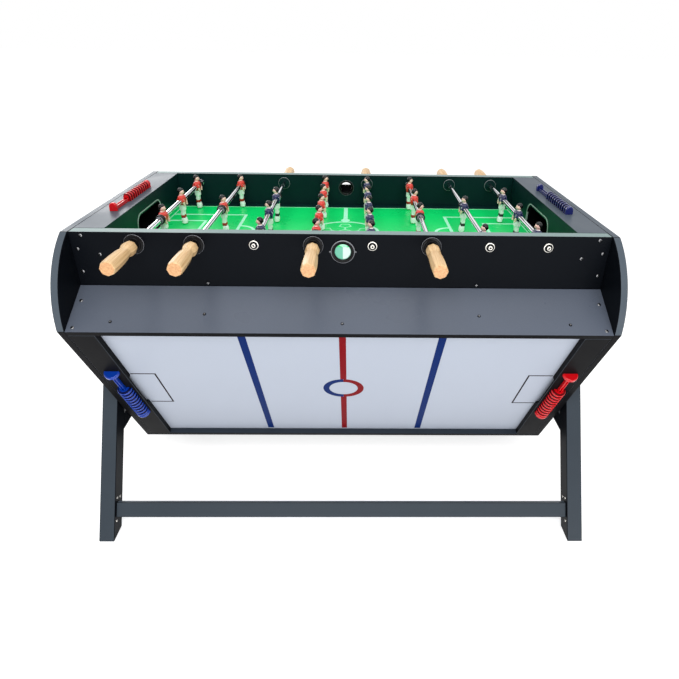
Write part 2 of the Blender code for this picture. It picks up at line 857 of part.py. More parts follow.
def build():
    clear_scene()
    finishes = build_finishes()
    stand = add_empty("stand")
    cabinet = add_empty("cabinet", location=(0, 0, pivot_height))
    faces = [add_empty(name, cabinet, rotation=(turn, 0, 0))
             for name, turn in (("football_face", 0), ("hockey_face", face_turn), ("pool_face", -face_turn))]
    add_end_panel("end_panel_left", -1, cabinet, finishes["grey board"])
    add_end_panel("end_panel_right", 1, cabinet, finishes["grey board"])
    build_football(faces[0], finishes)
    build_hockey(faces[1], finishes)
    build_pool(faces[2], finishes)
    build_stand(stand, finishes)


build()
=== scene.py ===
"""Looks of the turning three-in-one games table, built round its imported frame."""
import json
import math

import bmesh
import bpy
from mathutils import Matrix, Vector


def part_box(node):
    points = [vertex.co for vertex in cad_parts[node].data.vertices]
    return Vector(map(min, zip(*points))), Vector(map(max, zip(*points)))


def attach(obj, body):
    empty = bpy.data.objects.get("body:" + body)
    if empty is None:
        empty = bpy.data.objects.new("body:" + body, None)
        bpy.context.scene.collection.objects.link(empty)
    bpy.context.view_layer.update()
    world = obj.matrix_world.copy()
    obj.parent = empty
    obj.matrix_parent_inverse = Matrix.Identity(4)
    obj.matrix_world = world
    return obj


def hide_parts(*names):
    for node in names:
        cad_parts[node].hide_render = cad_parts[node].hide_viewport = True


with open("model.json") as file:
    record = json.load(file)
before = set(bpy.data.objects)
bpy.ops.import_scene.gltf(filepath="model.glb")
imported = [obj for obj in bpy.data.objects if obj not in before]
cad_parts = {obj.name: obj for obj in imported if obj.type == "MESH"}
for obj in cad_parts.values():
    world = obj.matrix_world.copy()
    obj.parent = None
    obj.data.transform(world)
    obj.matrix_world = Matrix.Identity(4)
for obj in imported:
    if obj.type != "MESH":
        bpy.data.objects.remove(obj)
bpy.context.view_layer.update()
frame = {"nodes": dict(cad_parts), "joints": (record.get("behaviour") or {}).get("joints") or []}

# Camera, fitted to the photograph's 679 by 679 pixels
image_size = 679
camera_place = Vector((0.0215, -1.4288, 1.2104))
camera_pitch = math.radians(27.789)
camera_yaw = math.radians(1.282)
camera_roll = math.radians(0.998)
focal_pixels = 536.42
centre_pixel = (362.71, 324.13)
sensor_width = 36.0

# Sizes that several pieces share, some of them read from the frame
joints = {joint["name"]: joint for joint in frame["joints"]}
pivot = Vector(joints["cabinet_turn"]["pos_m"])
face_turn = math.radians(120)
sixty = math.radians(60)
half_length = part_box("end_panel_right")[1].x
inner_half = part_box("end_panel_right")[0].x
half_width = 0.305
football_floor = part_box("football_field")[1].z - pivot.z
face_reach = football_floor + 0.0935
football_inner = 0.277
opening_half = 0.526
rod_level = joints["rod_1_spin"]["pos_m"][2] - pivot.z
cup_level = face_reach - 0.039
hockey_floor = face_reach - 0.016
hockey_opening_half = inner_half - 0.058
scorer_half = 0.123
scorer_cap = 0.010
scorer_height = 0.0195
seat_gap = 0.0003
ends = ((-1, "left"), (1, "right"))
fronts = ((-1, "front"), (1, "rear"))

# Looks of edges and thin pieces
board_ease = 0.0010
rail_ease = 0.0006
thin_ease = 0.0004
apron_ease = 0.0016
cloth_ease = 0.0009
paint_lift = 0.00015
paint_sink = 0.0002
layer_step = 0.00002
broad_face = 12
flat_tilt = math.cos(math.radians(5))
eased_angle = 0.4
smooth_degrees = 35.0
mitre_limit = 0.3
facing_out = 0.999
round_steps = 40


# Colours and materials

def srgb(colour):
    """A colour read as 0 to 255, as the linear values that shaders take."""
    def linear(value):
        value = value / 255
        return value / 12.92 if value <= 0.04045 else ((value + 0.055) / 1.055) ** 2.4
    return (*(linear(value) for value in colour), 1.0)


class Nodes:
    """The node tree of a material or a world, with short calls to add nodes."""

    def __init__(self, owner, shader="Principled BSDF"):
        owner.use_nodes = True
        self.owner = owner
        self.tree = owner.node_tree
        self.shader = self.tree.nodes[shader]

    def fill(self, node, inputs):
        """Set a node's inputs to numbers and colours, or join them to other nodes' outputs."""
        for key, value in inputs.items():
            if isinstance(value, bpy.types.NodeSocket):
                self.tree.links.new(value, node.inputs[key])
            else:
                node.inputs[key].default_value = value

    def add(self, kind, output, inputs=None, **settings):
        node = self.tree.nodes.new("ShaderNode" + kind)
        for key, value in settings.items():
            setattr(node, key, value)
        self.fill(node, inputs or {})
        return node.outputs[output]

    def paint(self, inputs):
        self.fill(self.shader, inputs)
        return self.owner

    def noise(self, scale, detail, roughness=0.55, stretch=(1, 1, 1)):
        place = self.add("Mapping", "Vector", {"Vector": self.add("TexCoord", "Object"), "Scale": stretch})
        return self.add("TexNoise", "Fac", {"Vector": place, "Scale": scale, "Detail": detail,
                                            "Roughness": roughness})

    def spread(self, value, low, high, start=0.3, end=0.7):
        return self.add("MapRange", "Result", {"Value": value, "From Min": start, "From Max": end,
                                               "To Min": low, "To Max": high})

    def maths(self, operation, *values):
        return self.add("Math", "Value", dict(enumerate(values)), operation=operation)

    def tint(self, colour, value):
        """A colour made lighter and darker by a value round one."""
        return self.add("Mix", "Result", {"Factor": 1.0, "A": colour, "B": value}, data_type="RGBA",
                        blend_type="MULTIPLY")

    def relief(self, height, strength, distance):
        return self.add("Bump", "Normal", {"Strength": strength, "Distance": distance, "Height": height})


def plain_material(name, colour, roughness, specular=0.5, metallic=0.0, cloud=0.05, speck=0.04,
                   speck_scale=700.0, relief=0.15, rough_play=0.06):
    """A surface whose tone, gloss and relief vary gently, as a moulded or laminated one does."""
    nodes = Nodes(bpy.data.materials.new(name))
    clouds = nodes.noise(7.0, 3.0)
    specks = nodes.noise(speck_scale, 2.0)
    tone = nodes.maths("MULTIPLY", nodes.spread(clouds, 1 - cloud, 1 + cloud),
                       nodes.spread(specks, 1 - speck, 1 + speck))
    return nodes.paint({"Base Color": nodes.tint(srgb(colour), tone),
                        "Roughness": nodes.spread(clouds, roughness - rough_play, roughness + rough_play),
                        "Normal": nodes.relief(specks, relief, 0.0002),
                        "Metallic": metallic, "Specular IOR Level": specular})


def wood_material(name, light, dark):
    """Straight-grained pale wood under clear lacquer, with its grain along Y."""
    nodes = Nodes(bpy.data.materials.new(name))
    grain = nodes.noise(1.0, 4.0, 0.6, (260, 7, 260))
    pores = nodes.noise(1.0, 2.0, stretch=(1300, 30, 1300))
    rings = nodes.noise(1.0, 2.0, stretch=(60, 3, 60))
    tone = nodes.maths("MULTIPLY", nodes.spread(pores, 0.92, 1.04), nodes.spread(rings, 0.95, 1.04))
    streaks = nodes.add("Mix", "Result", {"Factor": nodes.spread(grain, 0.0, 1.0, 0.38, 0.72),
                                          "A": srgb(light), "B": srgb(dark)}, data_type="RGBA")
    return nodes.paint({"Base Color": nodes.tint(streaks, tone),
                        "Roughness": nodes.spread(grain, 0.36, 0.50),
                        "Normal": nodes.relief(pores, 0.25, 0.0003),
                        "Coat Weight": 0.15, "Coat Roughness": 0.25})


def chrome_material(name, colour):
    """Bright chrome on a round bar, with a painted dark reflection along each shoulder, placed by how far
    the world normal leans sideways.
    """
    reflection_band_tilt = 0.54
    nodes = Nodes(bpy.data.materials.new(name))
    sideways = nodes.add("SeparateXYZ", "X", {"Vector": nodes.add("NewGeometry", "Normal")})
    away = nodes.maths("SUBTRACT", nodes.maths("ABSOLUTE", sideways), reflection_band_tilt)
    streaks = nodes.noise(600.0, 2.0, stretch=(1, 0.05, 1))
    # Painted reflection: darker where the normal's sideways lean is near the band's tilt.
    tone = nodes.maths("MULTIPLY", nodes.spread(nodes.maths("ABSOLUTE", away), 0.01, 1.0, 0.10, 0.14),
                       nodes.spread(streaks, 0.95, 1.03))
    return nodes.paint({"Base Color": nodes.tint(srgb(colour), tone), "Metallic": 1.0,
                        "Roughness": nodes.spread(streaks, 0.06, 0.12)})


def cloth_material(name, colour):
    """Napped baize: fine fibres, soft patches and a sheen."""
    nodes = Nodes(bpy.data.materials.new(name))
    fibres = nodes.noise(1600.0, 3.0)
    patches = nodes.noise(14.0, 3.0)
    tone = nodes.maths("MULTIPLY", nodes.spread(fibres, 0.78, 1.22), nodes.spread(patches, 0.94, 1.06))
    return nodes.paint({"Base Color": nodes.tint(srgb(colour), tone),
                        "Roughness": nodes.spread(fibres, 0.85, 1.0),
                        "Normal": nodes.relief(fibres, 0.5, 0.0004), "Sheen Weight": 0.35,
                        "Sheen Roughness": 0.5})


def build_materials():
    """Every material by a plain name."""
    laminate = {"relief": 0.10, "speck_scale": 520.0, "cloud": 0.03}
    paint = {"cloud": 0.015, "speck": 0.02, "relief": 0.04}
    line = {"cloud": 0.04, "speck": 0.10, "speck_scale": 330.0, "relief": 0.05}
    rink = {"cloud": 0.004, "speck": 0.01, "relief": 0.02, "rough_play": 0.0}
    shirt = {"speck": 0.08, "relief": 0.08}
    limbs = {"speck": 0.05, "relief": 0.06}
    # Plain name, material, colour, roughness, specular level and variation
    rows = (
        ("black", "black_laminate", (11, 14, 19), 0.40, 0.04, laminate),
        # The rows from here down to the front rim are one black laminate, painted lighter on the faces that
        # turn to the lamps: painted light.
        ("painted lit face", "laminate_painted_lit_face", (53, 61, 69), 0.38, 0.16, laminate),
        ("dark painted lit face", "laminate_painted_dim_lit_face", (44, 51, 60), 0.38, 0.08, laminate),
        ("shelf", "laminate_painted_lit_shelf", (85, 92, 105), 0.32, 0.18, laminate),
        ("rim", "laminate_painted_lit_top", (77, 86, 96), 0.40, 0.10, laminate),
        ("painted lit edge", "laminate_painted_lit_edge", (72, 81, 90), 0.38, 0.20, laminate),
        # The football rims' tops: painted light, with a painted green reflection of the pitch.
        ("front rim", "laminate_painted_lit_rim_and_reflection", (130, 149, 148), 0.42, 0.06, laminate),
        ("rail", "rail_laminate", (16, 16, 18), 0.40, 0.02, laminate),
        # The football face's inner walls: the black laminate with a painted green reflection of the pitch.
        # On the pitch it serves as painted shade along the walls.
        ("wall", "laminate_painted_pitch_reflection_and_shade", (8, 38, 38), 0.36, 0.10, laminate),
        ("trim", "goal_trim", (170, 178, 178), 0.30, 0.5, paint),
        ("pitch", "pitch_green", (7, 216, 108), 0.30, 0.20, paint),
        ("mint", "pitch_line", (176, 252, 214), 0.30, 0.20, paint),
        ("rink", "rink_white", (173, 180, 193), 0.34, 0.12, rink),
        ("blue line", "rink_blue", (12, 38, 96), 0.32, 0.02, line),
        ("red line", "rink_red", (122, 12, 20), 0.32, 0.02, line),
        ("thin line", "rink_thin", (26, 8, 12), 0.32, 0.02, paint),
        ("screw", "screw_zinc", (128, 128, 130), 0.26, 0.5, {"metallic": 1.0, "speck": 0.08}),
        ("zinc", "zinc_plate", (206, 203, 196), 0.24, 0.5, {"metallic": 1.0, "speck": 0.08,
                                                            "speck_scale": 900.0}),
        ("dark steel", "painted_steel", (34, 35, 38), 0.42, 0.3, {"relief": 0.3, "speck_scale": 400.0}),
        ("plastic", "black_plastic", (12, 12, 14), 0.24, 0.12, {"speck_scale": 1500.0}),
        ("rubber", "black_rubber", (12, 12, 13), 0.30, 0.25, {"relief": 0.2, "speck_scale": 1200.0}),
        # Painted highlight: a pale band on black plastic edges; also the grey of the ball cups' screw
        # heads.
        ("ring", "painted_highlight_edge_and_screw_grey", (128, 130, 136), 0.30, 0.5, paint),
        # Painted reflections of the pitch inside the front ball entry.
        ("cup pitch reflection", "cup_painted_pitch_reflection", (112, 184, 160), 0.45, 0.05, paint),
        ("cup pale pitch reflection", "cup_painted_pale_pitch_reflection", (204, 222, 218), 0.45, 0.05, paint),
        ("hair", "player_hair", (8, 7, 8), 0.26, 0.35, {"speck": 0.20, "speck_scale": 1400.0}),
        ("skin", "player_skin", (255, 210, 196), 0.40, 0.5, {"speck": 0.05, "relief": 0.05}),
        ("red shirt", "player_red", (214, 52, 38), 0.30, 0.5, shirt),
        ("blue shirt", "player_blue", (26, 32, 78), 0.30, 0.5, shirt),
        ("red band", "player_red_band", (250, 226, 214), 0.40, 0.5, limbs),
        ("blue band", "player_blue_band", (244, 244, 248), 0.40, 0.5, limbs),
        ("legs", "player_legs", (250, 250, 250), 0.40, 0.5, limbs),
        ("boot", "player_boot", (246, 252, 250), 0.36, 0.5, limbs),
        ("red sock", "player_red_sock", (170, 34, 24), 0.44, 0.5, {"speck": 0.10}),
        ("blue sock", "player_blue_sock", (34, 30, 36), 0.44, 0.5, {"speck": 0.10}),
        ("red bead", "bead_red", (208, 12, 22), 0.15, 0.35, paint),
        ("blue bead", "bead_blue", (8, 56, 158), 0.15, 0.40, paint),
        ("navy bead", "bead_navy", (14, 26, 98), 0.15, 0.60, paint),
        # Painted shade for the gaps between beads.
        ("deep red bead", "bead_red_gap_painted_shade", (92, 2, 8), 0.30, 0.05, paint),
        ("deep blue bead", "bead_blue_gap_painted_shade", (2, 10, 58), 0.30, 0.05, paint),
        ("deep navy bead", "bead_navy_gap_painted_shade", (4, 6, 44), 0.30, 0.05, paint),
        ("ivory", "rail_sight", (226, 222, 206), 0.35, 0.5, paint),
    )
    found = {name: plain_material(title, colour, roughness, specular, **variation)
             for name, title, colour, roughness, specular, variation in rows}
    found["steel"] = chrome_material("polished_steel_painted_reflection_band", (236, 238, 242))
    found["wood"] = wood_material("handle_wood", (230, 196, 146), (194, 150, 98))
    found["end grain"] = wood_material("handle_end", (222, 170, 118), (188, 132, 86))
    found["cloth"] = cloth_material("pool_cloth", (14, 120, 74))
    return found


materials = build_materials()


# Mesh tools

def aim(place, direction):
    """A frame at a place whose own Z runs along a direction."""
    turn = Vector((0, 0, 1)).rotation_difference(Vector(direction))
    return Matrix.Translation(place) @ turn.to_matrix().to_4x4()


def wall_frame(side, x, depth, up, way=1):
    """A frame at a depth in a long side of the football face, with its Z outwards, or inwards."""
    return aim((x, side * depth, pivot.z + up), (0, side * way, 0))


def face_frame(turn):
    """A playing face's own frame: X along it, Y across it, Z out of it, from the axle."""
    return Matrix.Translation(pivot) @ Matrix.Rotation(turn, 4, "X")


football = face_frame(0)
hockey = face_frame(face_turn)
pool = face_frame(-face_turn)


def metres(rows):
    """Rows of sizes in tenths of a millimetre, in metres."""
    return [tuple(size / 10000 for size in row) for row in rows]


def both(distance):
    """A distance to either side of the middle, or the middle itself."""
    return sorted({-distance, distance})


def span(side, first, second):
    """Two distances on one side of the middle, as a low and a high coordinate."""
    return sorted((side * first, side * second))


def circle(radius, sides, centre=(0, 0)):
    turns = [2 * math.pi * step / sides for step in range(sides)]
    return [(centre[0] + radius * math.cos(turn), centre[1] + radius * math.sin(turn)) for turn in turns]


def arc(centre, radius, start, end, steps):
    """Points on an arc, from one angle in degrees to another."""
    turns = [math.radians(start + (end - start) * step / steps) for step in range(steps + 1)]
    return [(centre[0] + radius * math.cos(turn), centre[1] + radius * math.sin(turn)) for turn in turns]


def rounded(points, radius, closed=False, steps=2):
    """A line of points with its corners rounded."""
    line = []
    for index, point in enumerate(points):
        here = Vector(point)
        if not closed and index in (0, len(points) - 1):
            line.append(tuple(here))
            continue
        before = Vector(points[index - 1]) - here
        after = Vector(points[(index + 1) % len(points)]) - here
        reach = min(radius, before.length * 0.45, after.length * 0.45)
        start = here + before.normalized() * reach
        end = here + after.normalized() * reach
        for step in range(steps + 1):
            share = step / steps
            line.append(tuple(start * (1 - share) ** 2 + here * 2 * share * (1 - share) + end * share ** 2))
    return line


def turned_point(across, up, turn):
    return (across * math.cos(turn) - up * math.sin(turn), across * math.sin(turn) + up * math.cos(turn))


def shade(mesh, smooth=smooth_degrees):
    """Smooth shading that keeps sharp corners, and keeps broad flat faces flat beside narrow bevels."""
    mesh.shade_smooth()
    mesh.set_sharp_from_angle(angle=math.radians(smooth))
    around = {}
    for polygon in mesh.polygons:
        for key in polygon.edge_keys:
            around.setdefault(key, []).append(polygon)
    for edge in mesh.edges:
        pair = around.get(edge.key, [])
        if len(pair) == 2:
            small, large = sorted(polygon.area for polygon in pair)
            tilt = pair[0].normal.dot(pair[1].normal)
            if large > small * broad_face and tilt < flat_tilt:
                edge.use_edge_sharp = True


class Shape:
    """A mesh under way, with its own list of materials."""

    def __init__(self, *names):
        self.body = bmesh.new()
        self.names = names

    def loft(self, rings, finish=0, place=Matrix(), loop=False):
        """Rings of points joined into a closed skin, with caps at both ends or closed on itself."""
        levels = [[self.body.verts.new(place @ Vector(point)) for point in ring] for ring in rings]
        pairs = list(zip(levels, levels[1:]))
        faces = []
        if loop:
            pairs.append((levels[-1], levels[0]))
        else:
            faces = [self.body.faces.new(levels[0]), self.body.faces.new(levels[-1])]
        for lower, upper in pairs:
            for here in range(len(lower)):
                after = (here + 1) % len(lower)
                faces.append(self.body.faces.new((lower[here], lower[after], upper[after], upper[here])))
        for face in faces:
            face.material_index = finish
        bmesh.ops.recalc_face_normals(self.body, faces=faces)
        return faces

    def lathe(self, profile, place, finish=0, sides=round_steps, loop=False):
        """A turned form; its profile holds (radius, height) pairs."""
        rings = [[(*point, height) for point in circle(radius, sides)] for radius, height in profile]
        return self.loft(rings, finish, place, loop)

    def collars(self, place, sides, *sections):
        """Turned rings at one place, each a section with its finish."""
        for section, finish in sections:
            self.lathe(section, place, finish, sides, True)

    def sleeve(self, section, ease, place, finish, sides):
        """A turned ring with rounded edges; its section is in tenths of a millimetre."""
        self.lathe(rounded(metres(section), ease, True), place, finish, sides, True)

    def prism(self, outline, start, end, place=Matrix(), finish=0):
        """An outline in Y and Z carried along X."""
        return self.loft([[(along, *point) for point in outline] for along in (start, end)], finish, place)

    def bar(self, low, high, place=Matrix(), finish=0, ease=rail_ease):
        """A straight bar with eased edges."""
        outline = [(low[1], low[2]), (high[1], low[2]), (high[1], high[2]), (low[1], high[2])]
        self.ease(self.prism(outline, low[0], high[0], place, finish), ease)

    def ease(self, faces, width, steps=2, finish=-1):
        """Bevel the sharp edges of some faces."""
        self.body.edges.index_update()
        edges = sorted({edge for face in faces for edge in face.edges}, key=lambda edge: edge.index)
        sharp = [edge for edge in edges
                 if len(edge.link_faces) == 2 and edge.calc_face_angle() > eased_angle]
        bmesh.ops.bevel(self.body, geom=sharp, offset=width, segments=steps, profile=0.5, affect="EDGES",
                        clamp_overlap=True, material=finish)

    def ball(self, centre, size, finish, place, rows, columns, shape):
        """An ellipsoid, whose points a shape function may move, or none."""
        rings = []
        for row in range(rows + 1):
            rise = math.pi * (row / rows - 0.5)
            level = circle(max(math.cos(rise), 0.02), columns)
            ways = [Vector((*point, math.sin(rise))) for point in level]
            rings.append([Vector(centre) + Vector([part * reach for part, reach in zip(way, size)])
                          for way in (map(shape, ways) if shape else ways)])
        self.loft(rings, finish, place)

    def limb(self, points, radii, finish, place):
        """A tapering tube through a few points."""
        sides = 12
        points = [Vector(point) for point in points]
        rings = []
        for index, point in enumerate(points):
            way = points[min(index + 1, len(points) - 1)] - points[max(index - 1, 0)]
            turn = aim(point, way.normalized())
            rings.append([turn @ Vector((*spot, 0)) for spot in circle(radii[index], sides)])
        self.loft(rings, finish, place)

    def finish(self, name, body, slot, replaces=(), smooth=smooth_degrees):
        """The object, riding on its body and standing for the nodes that it replaces."""
        mesh = bpy.data.meshes.new(name)
        self.body.to_mesh(mesh)
        self.body.free()
        for material in self.names:
            mesh.materials.append(materials[material])
        shade(mesh, smooth)
        piece = bpy.data.objects.new(name, mesh)
        bpy.context.scene.collection.objects.link(piece)
        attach(piece, body)
        for node in replaces:
            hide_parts(node)
        return piece


class Paint(Shape):
    """Lines and dots on a flat face, just proud of it; a higher layer lies a little lower."""

    def __init__(self, place, level, *names):
        super().__init__(*names)
        self.place = place
        self.level = level

    def heights(self, layer):
        return (self.level - paint_sink, self.level + (paint_lift - layer * layer_step))

    def line(self, path, width, finish=0, closed=False, layer=0):
        low, high = self.heights(layer)
        points = [Vector(point) for point in path]
        rings = []
        for index, here in enumerate(points):
            before = points[index - 1] if closed or index else here
            after = points[(index + 1) % len(points)] if closed or index < len(points) - 1 else here
            first = (here - before).normalized() if before != here else (after - here).normalized()
            second = (after - here).normalized() if after != here else first
            middle = (first + second).normalized()
            side = Vector((-middle.y, middle.x)) * (width / 2 / max(middle.dot(second), mitre_limit))
            left, right = here + side, here - side
            rings.append([(*left, high), (*right, high), (*right, low), (*left, low)])
        self.loft(rings, finish, self.place, closed)

    def dot(self, centre, radius, layer=0):
        self.loft([[(*point, height) for point in circle(radius, round_steps, centre)]
                   for height in self.heights(layer)], 0, self.place)


def cut(piece, cutters):
    """Cut shapes out of a piece for good, and clear the cutter away."""
    tool = bpy.data.objects.new("cutter", bpy.data.meshes.new("cutter"))
    cutters.body.to_mesh(tool.data)
    cutters.body.free()
    for material in cutters.names:
        tool.data.materials.append(materials[material])
    bpy.context.scene.collection.objects.link(tool)
    change = piece.modifiers.new("cut", "BOOLEAN")
    change.operation = "DIFFERENCE"
    change.solver = "EXACT"
    change.object = tool
    bpy.context.view_layer.update()
    result = bpy.data.meshes.new_from_object(piece.evaluated_get(bpy.context.evaluated_depsgraph_get()))
    piece.modifiers.clear()
    piece.data = result
    bpy.data.objects.remove(tool, do_unlink=True)
    shade(result)


def softened(node, slot, finishes, width, choose=None, edge=-1, name=None, body="cabinet"):
    """A node's own form with its edges eased, and a finish chosen for each face by its normal."""
    shape = Shape(*finishes)
    shape.body.from_mesh(frame["nodes"][node].data)
    bmesh.ops.remove_doubles(shape.body, verts=shape.body.verts, dist=seat_gap / 10)
    bmesh.ops.dissolve_limit(shape.body, angle_limit=math.radians(1), verts=shape.body.verts,
                             edges=shape.body.edges)
    shape.body.normal_update()
    for face in shape.body.faces:
        face.material_index = choose(face) if choose else 0
    shape.ease(list(shape.body.faces), width, finish=edge)
    shape.finish(name or node + "_board", body, slot, [node])


# Fasteners, bushes and ball entries

def add_screw(shape, place, direction, radius, finish=0):
    """A pan head in one finish, with a cross recess in the other of a shape's first two."""
    head = aim(place, direction)
    profile = [(radius, -0.001), (radius, 0.0004), (radius * 0.93, radius * 0.26),
               (radius * 0.70, radius * 0.40), (radius * 0.02, radius * 0.46)]
    shape.lathe(profile, head, finish, sides=20)
    long, wide, foot, top, ease = (share * radius for share in (0.58, 0.15, 0.20, 0.475, 0.03))
    for turn in (0, math.pi / 2):
        arm = head @ Matrix.Rotation(turn, 4, "Z")
        shape.bar((-long, -wide, foot), (long, wide, top), arm, 1 - finish, ease)


def add_bolt(shape, place, direction, radius, height):
    """A hexagon head over a washer."""
    head = aim(place, direction)
    washer = radius * 1.55
    shape.lathe([(washer, 0), (washer, height * 0.25), (washer * 0.96, height * 0.32),
                 (radius, height * 0.32)], head, 0, 32)
    profile = [(radius, height * 0.2), (radius, height * 0.95), (radius * 0.90, height)]
    faces = shape.lathe(profile, head, 0, 6)
    shape.ease(faces, radius * 0.06, 1)


def add_bushes():
    """Flanged bushes for the tubes, each with a painted highlight on its lip outside the wall and inside
    it.
    """
    # Tenths of a millimetre
    bore, flange, boss, height, inside = 67, 222, 152, 80, 182
    outer = rounded(metres([(bore, -100), (flange, -100), (flange, 26), (flange - 18, 41), (boss + 6, 41),
                            (boss, height - 4), (boss - 14, height), (bore, height)]), 0.0006)
    inner = rounded(metres([(bore, -80), (inside, -80), (inside, 28), (inside - 10, 37), (bore + 30, 37),
                            (bore, 36)]), 0.0006)
    highlight_lip = metres([(flange - 16, 36), (flange - 4, 30), (flange - 1, 26), (flange - 16, 26)])
    inner_highlight_lip = metres([(inside - 16, 36), (inside - 8, 37), (inside - 2, 30), (inside - 16, 30)])
    for side, where in fronts:
        shape = Shape("plastic", "ring", "wall")
        for rod in rods:
            if rod["side"] == side:
                shape.collars(wall_frame(side, rod["x"], half_width, rod_level), 48, (outer, 0), (highlight_lip, 1))
                # Inside, the collar takes the walls' painted green reflection and its lip a painted
                # highlight.
                shape.collars(wall_frame(side, rod["x"], football_inner, rod_level, -1), 48, (inner, 2),
                              (inner_highlight_lip, 1))
        shape.finish("rod_bushes_" + where, "cabinet", "black_plastic")


def add_ball_cups():
    """An eared ring with two screws outside each ball entry, its lined bore and a thin ring inside; the
    lips carry a painted highlight, and in front the lining and chute a painted reflection of the pitch.
    """
    ear = 0.0282
    # Tenths of a millimetre
    bore, flange, shell, inside = 178, 272, 10, 235
    outer = rounded(metres([(bore, -280), (bore + shell, -280), (bore + shell, -40), (flange, -40),
                            (flange, 26), (flange - 22, 48), (bore + 40, 48), (bore, 28)]), 0.0010, steps=3)
    inner = rounded(metres([(bore, -120), (inside, -120), (inside, 16), (bore + 20, 22), (bore, 12)]),
                    0.0006)
    highlight_lip = metres([(flange - 22, 47), (flange - 12, 42), (flange - 6, 32), (flange - 22, 30)])
    inner_highlight_lip = metres([(inside - 11, 14), (inside - 2, 17), (inside + 1, 8), (inside - 11, 6)])
    lining = metres([(bore + 1, -279), (bore - 4, -279), (bore - 4, 22), (bore + 1, 22)])
    depths = (football_inner + 0.002, half_width - 0.008, half_width + 0.001)
    # In front, the lining and the chute's left half carry a painted mint reflection of the pitch, and the
    # right half a paler painted one; at the rear all are black.
    for side, where, tint, right_tint, fills in ((-1, "front", "cup pitch reflection", 3, (0.08, 0.45, 0.80)),
                                                 (1, "rear", "plastic", 2, (0.08, 0.50, 0.62))):
        shape = Shape("plastic", "ring", tint, "cup pale pitch reflection")
        shape.collars(wall_frame(side, 0, half_width, cup_level), 48, (outer, 0), (highlight_lip, 1), (lining, 2))
        for across in both(ear):
            spot = Vector((across, side * half_width, pivot.z + cup_level))
            shape.lathe(metres([(30, 0), (30, 24), (24, 30)]), aim(spot, (0, side, 0)), 0, 20)
            add_screw(shape, spot + Vector((0, side * 0.0028, 0)), (0, side, 0), 0.0019, 1)
        shape.collars(wall_frame(side, 0, football_inner, cup_level, -1), 48, (inner, 0), (inner_highlight_lip, 1))
        for half, finish in ((-1, 2), (1, right_tint)):
            shape.loft([chute_ring(half, fill, side * depth) for depth, fill in zip(depths, fills)], finish)
        shape.finish("ball_cup_" + where, "cabinet", "black_plastic")


def chute_ring(half, fill, along):
    """One half of the lower part of a ball entry's round, filled up to a share of its height."""
    radius = 0.0172
    steps = 12
    start = math.asin(2 * fill - 1)
    first, last = (math.pi - start, math.pi * 1.5) if half < 0 else (math.pi * 1.5, math.pi * 2 + start)
    turns = [first + (last - first) * step / steps for step in range(steps + 1)]
    ring = [(radius * math.cos(turn), radius * math.sin(turn)) for turn in turns]
    ring.append((0, radius * math.sin(start)))
    return [(across, along, pivot.z + cup_level + up) for across, up in ring]


# Cabinet boards

def apron_outline(thickness):
    """An apron's section on the +Y side, mitred where two faces of the cabinet meet."""
    gap = seat_gap / (2 * math.sin(sixty))
    inner = half_width - thickness
    return [(half_width, face_reach), (half_width, half_width / math.tan(sixty) + gap),
            (inner, inner / math.tan(sixty) + gap), (inner, face_reach)]


def panel_outline():
    """Three straight rims joined by bowed lobes."""
    lobe_rise = 0.030
    lobe_steps = 28
    chord = half_width * math.sin(sixty) + face_reach * math.cos(sixty)
    half_chord = face_reach * math.sin(sixty) - half_width * math.cos(sixty)
    radius = (half_chord ** 2 + lobe_rise ** 2) / (2 * lobe_rise)
    centre = chord + lobe_rise - radius
    spread = math.asin(half_chord / radius)
    outline = []
    for face in range(3):
        turn = face * face_turn
        outline += [turned_point(across, face_reach, turn) for across in (half_width, -half_width)]
        for step in range(1, lobe_steps):
            lean = sixty + spread * (2 * step / lobe_steps - 1)
            across = -centre * math.sin(sixty) - radius * math.sin(lean)
            up = centre * math.cos(sixty) + radius * math.cos(lean)
            outline.append(turned_point(across, up, turn))
    return outline


def add_end_panels():
    """Rounded-triangle panels: black faces, with edges painted a lighter grey as lit; the hockey rim black
    and the football rim painted lighter still as lit from above.
    """
    axle_bore = 0.0106
    lock_bore = 0.0056
    lock_circle = 0.046
    lock_bores = [(lock_bore, *turned_point(0, -lock_circle, turn * face_turn)) for turn in range(3)]
    hockey_out = hockey.to_3x3() @ Vector((0, 0, 1))
    for side, where in ends:
        shape = Shape("black", "painted lit edge", "rail", "rim")
        faces = shape.prism(panel_outline(), side * inner_half, side * half_length,
                            Matrix.Translation((0, pivot.y, pivot.z)))
        for face in faces:
            # Painted light: edges and tops take lighter copies of the black laminate, as lit by the lamps.
            face.material_index = 0 if abs(face.normal.x) > 0.5 else 1
            if face.normal.dot(hockey_out) > facing_out:
                face.material_index = 2
            if face.normal.z > facing_out:
                face.material_index = 3
        shape.ease(faces, board_ease, finish=0)
        panel = shape.finish("end_panel_%s_board" % where, "cabinet", "black_board", ["end_panel_" + where])
        cutters = Shape("black")
        for radius, across, up in [(axle_bore, 0, 0), *lock_bores]:
            place = aim((side * (inner_half - 0.004), across, pivot.z + up), (side, 0, 0))
            cutters.lathe([(radius, 0), (radius, 0.024)], place)
        cut(panel, cutters)


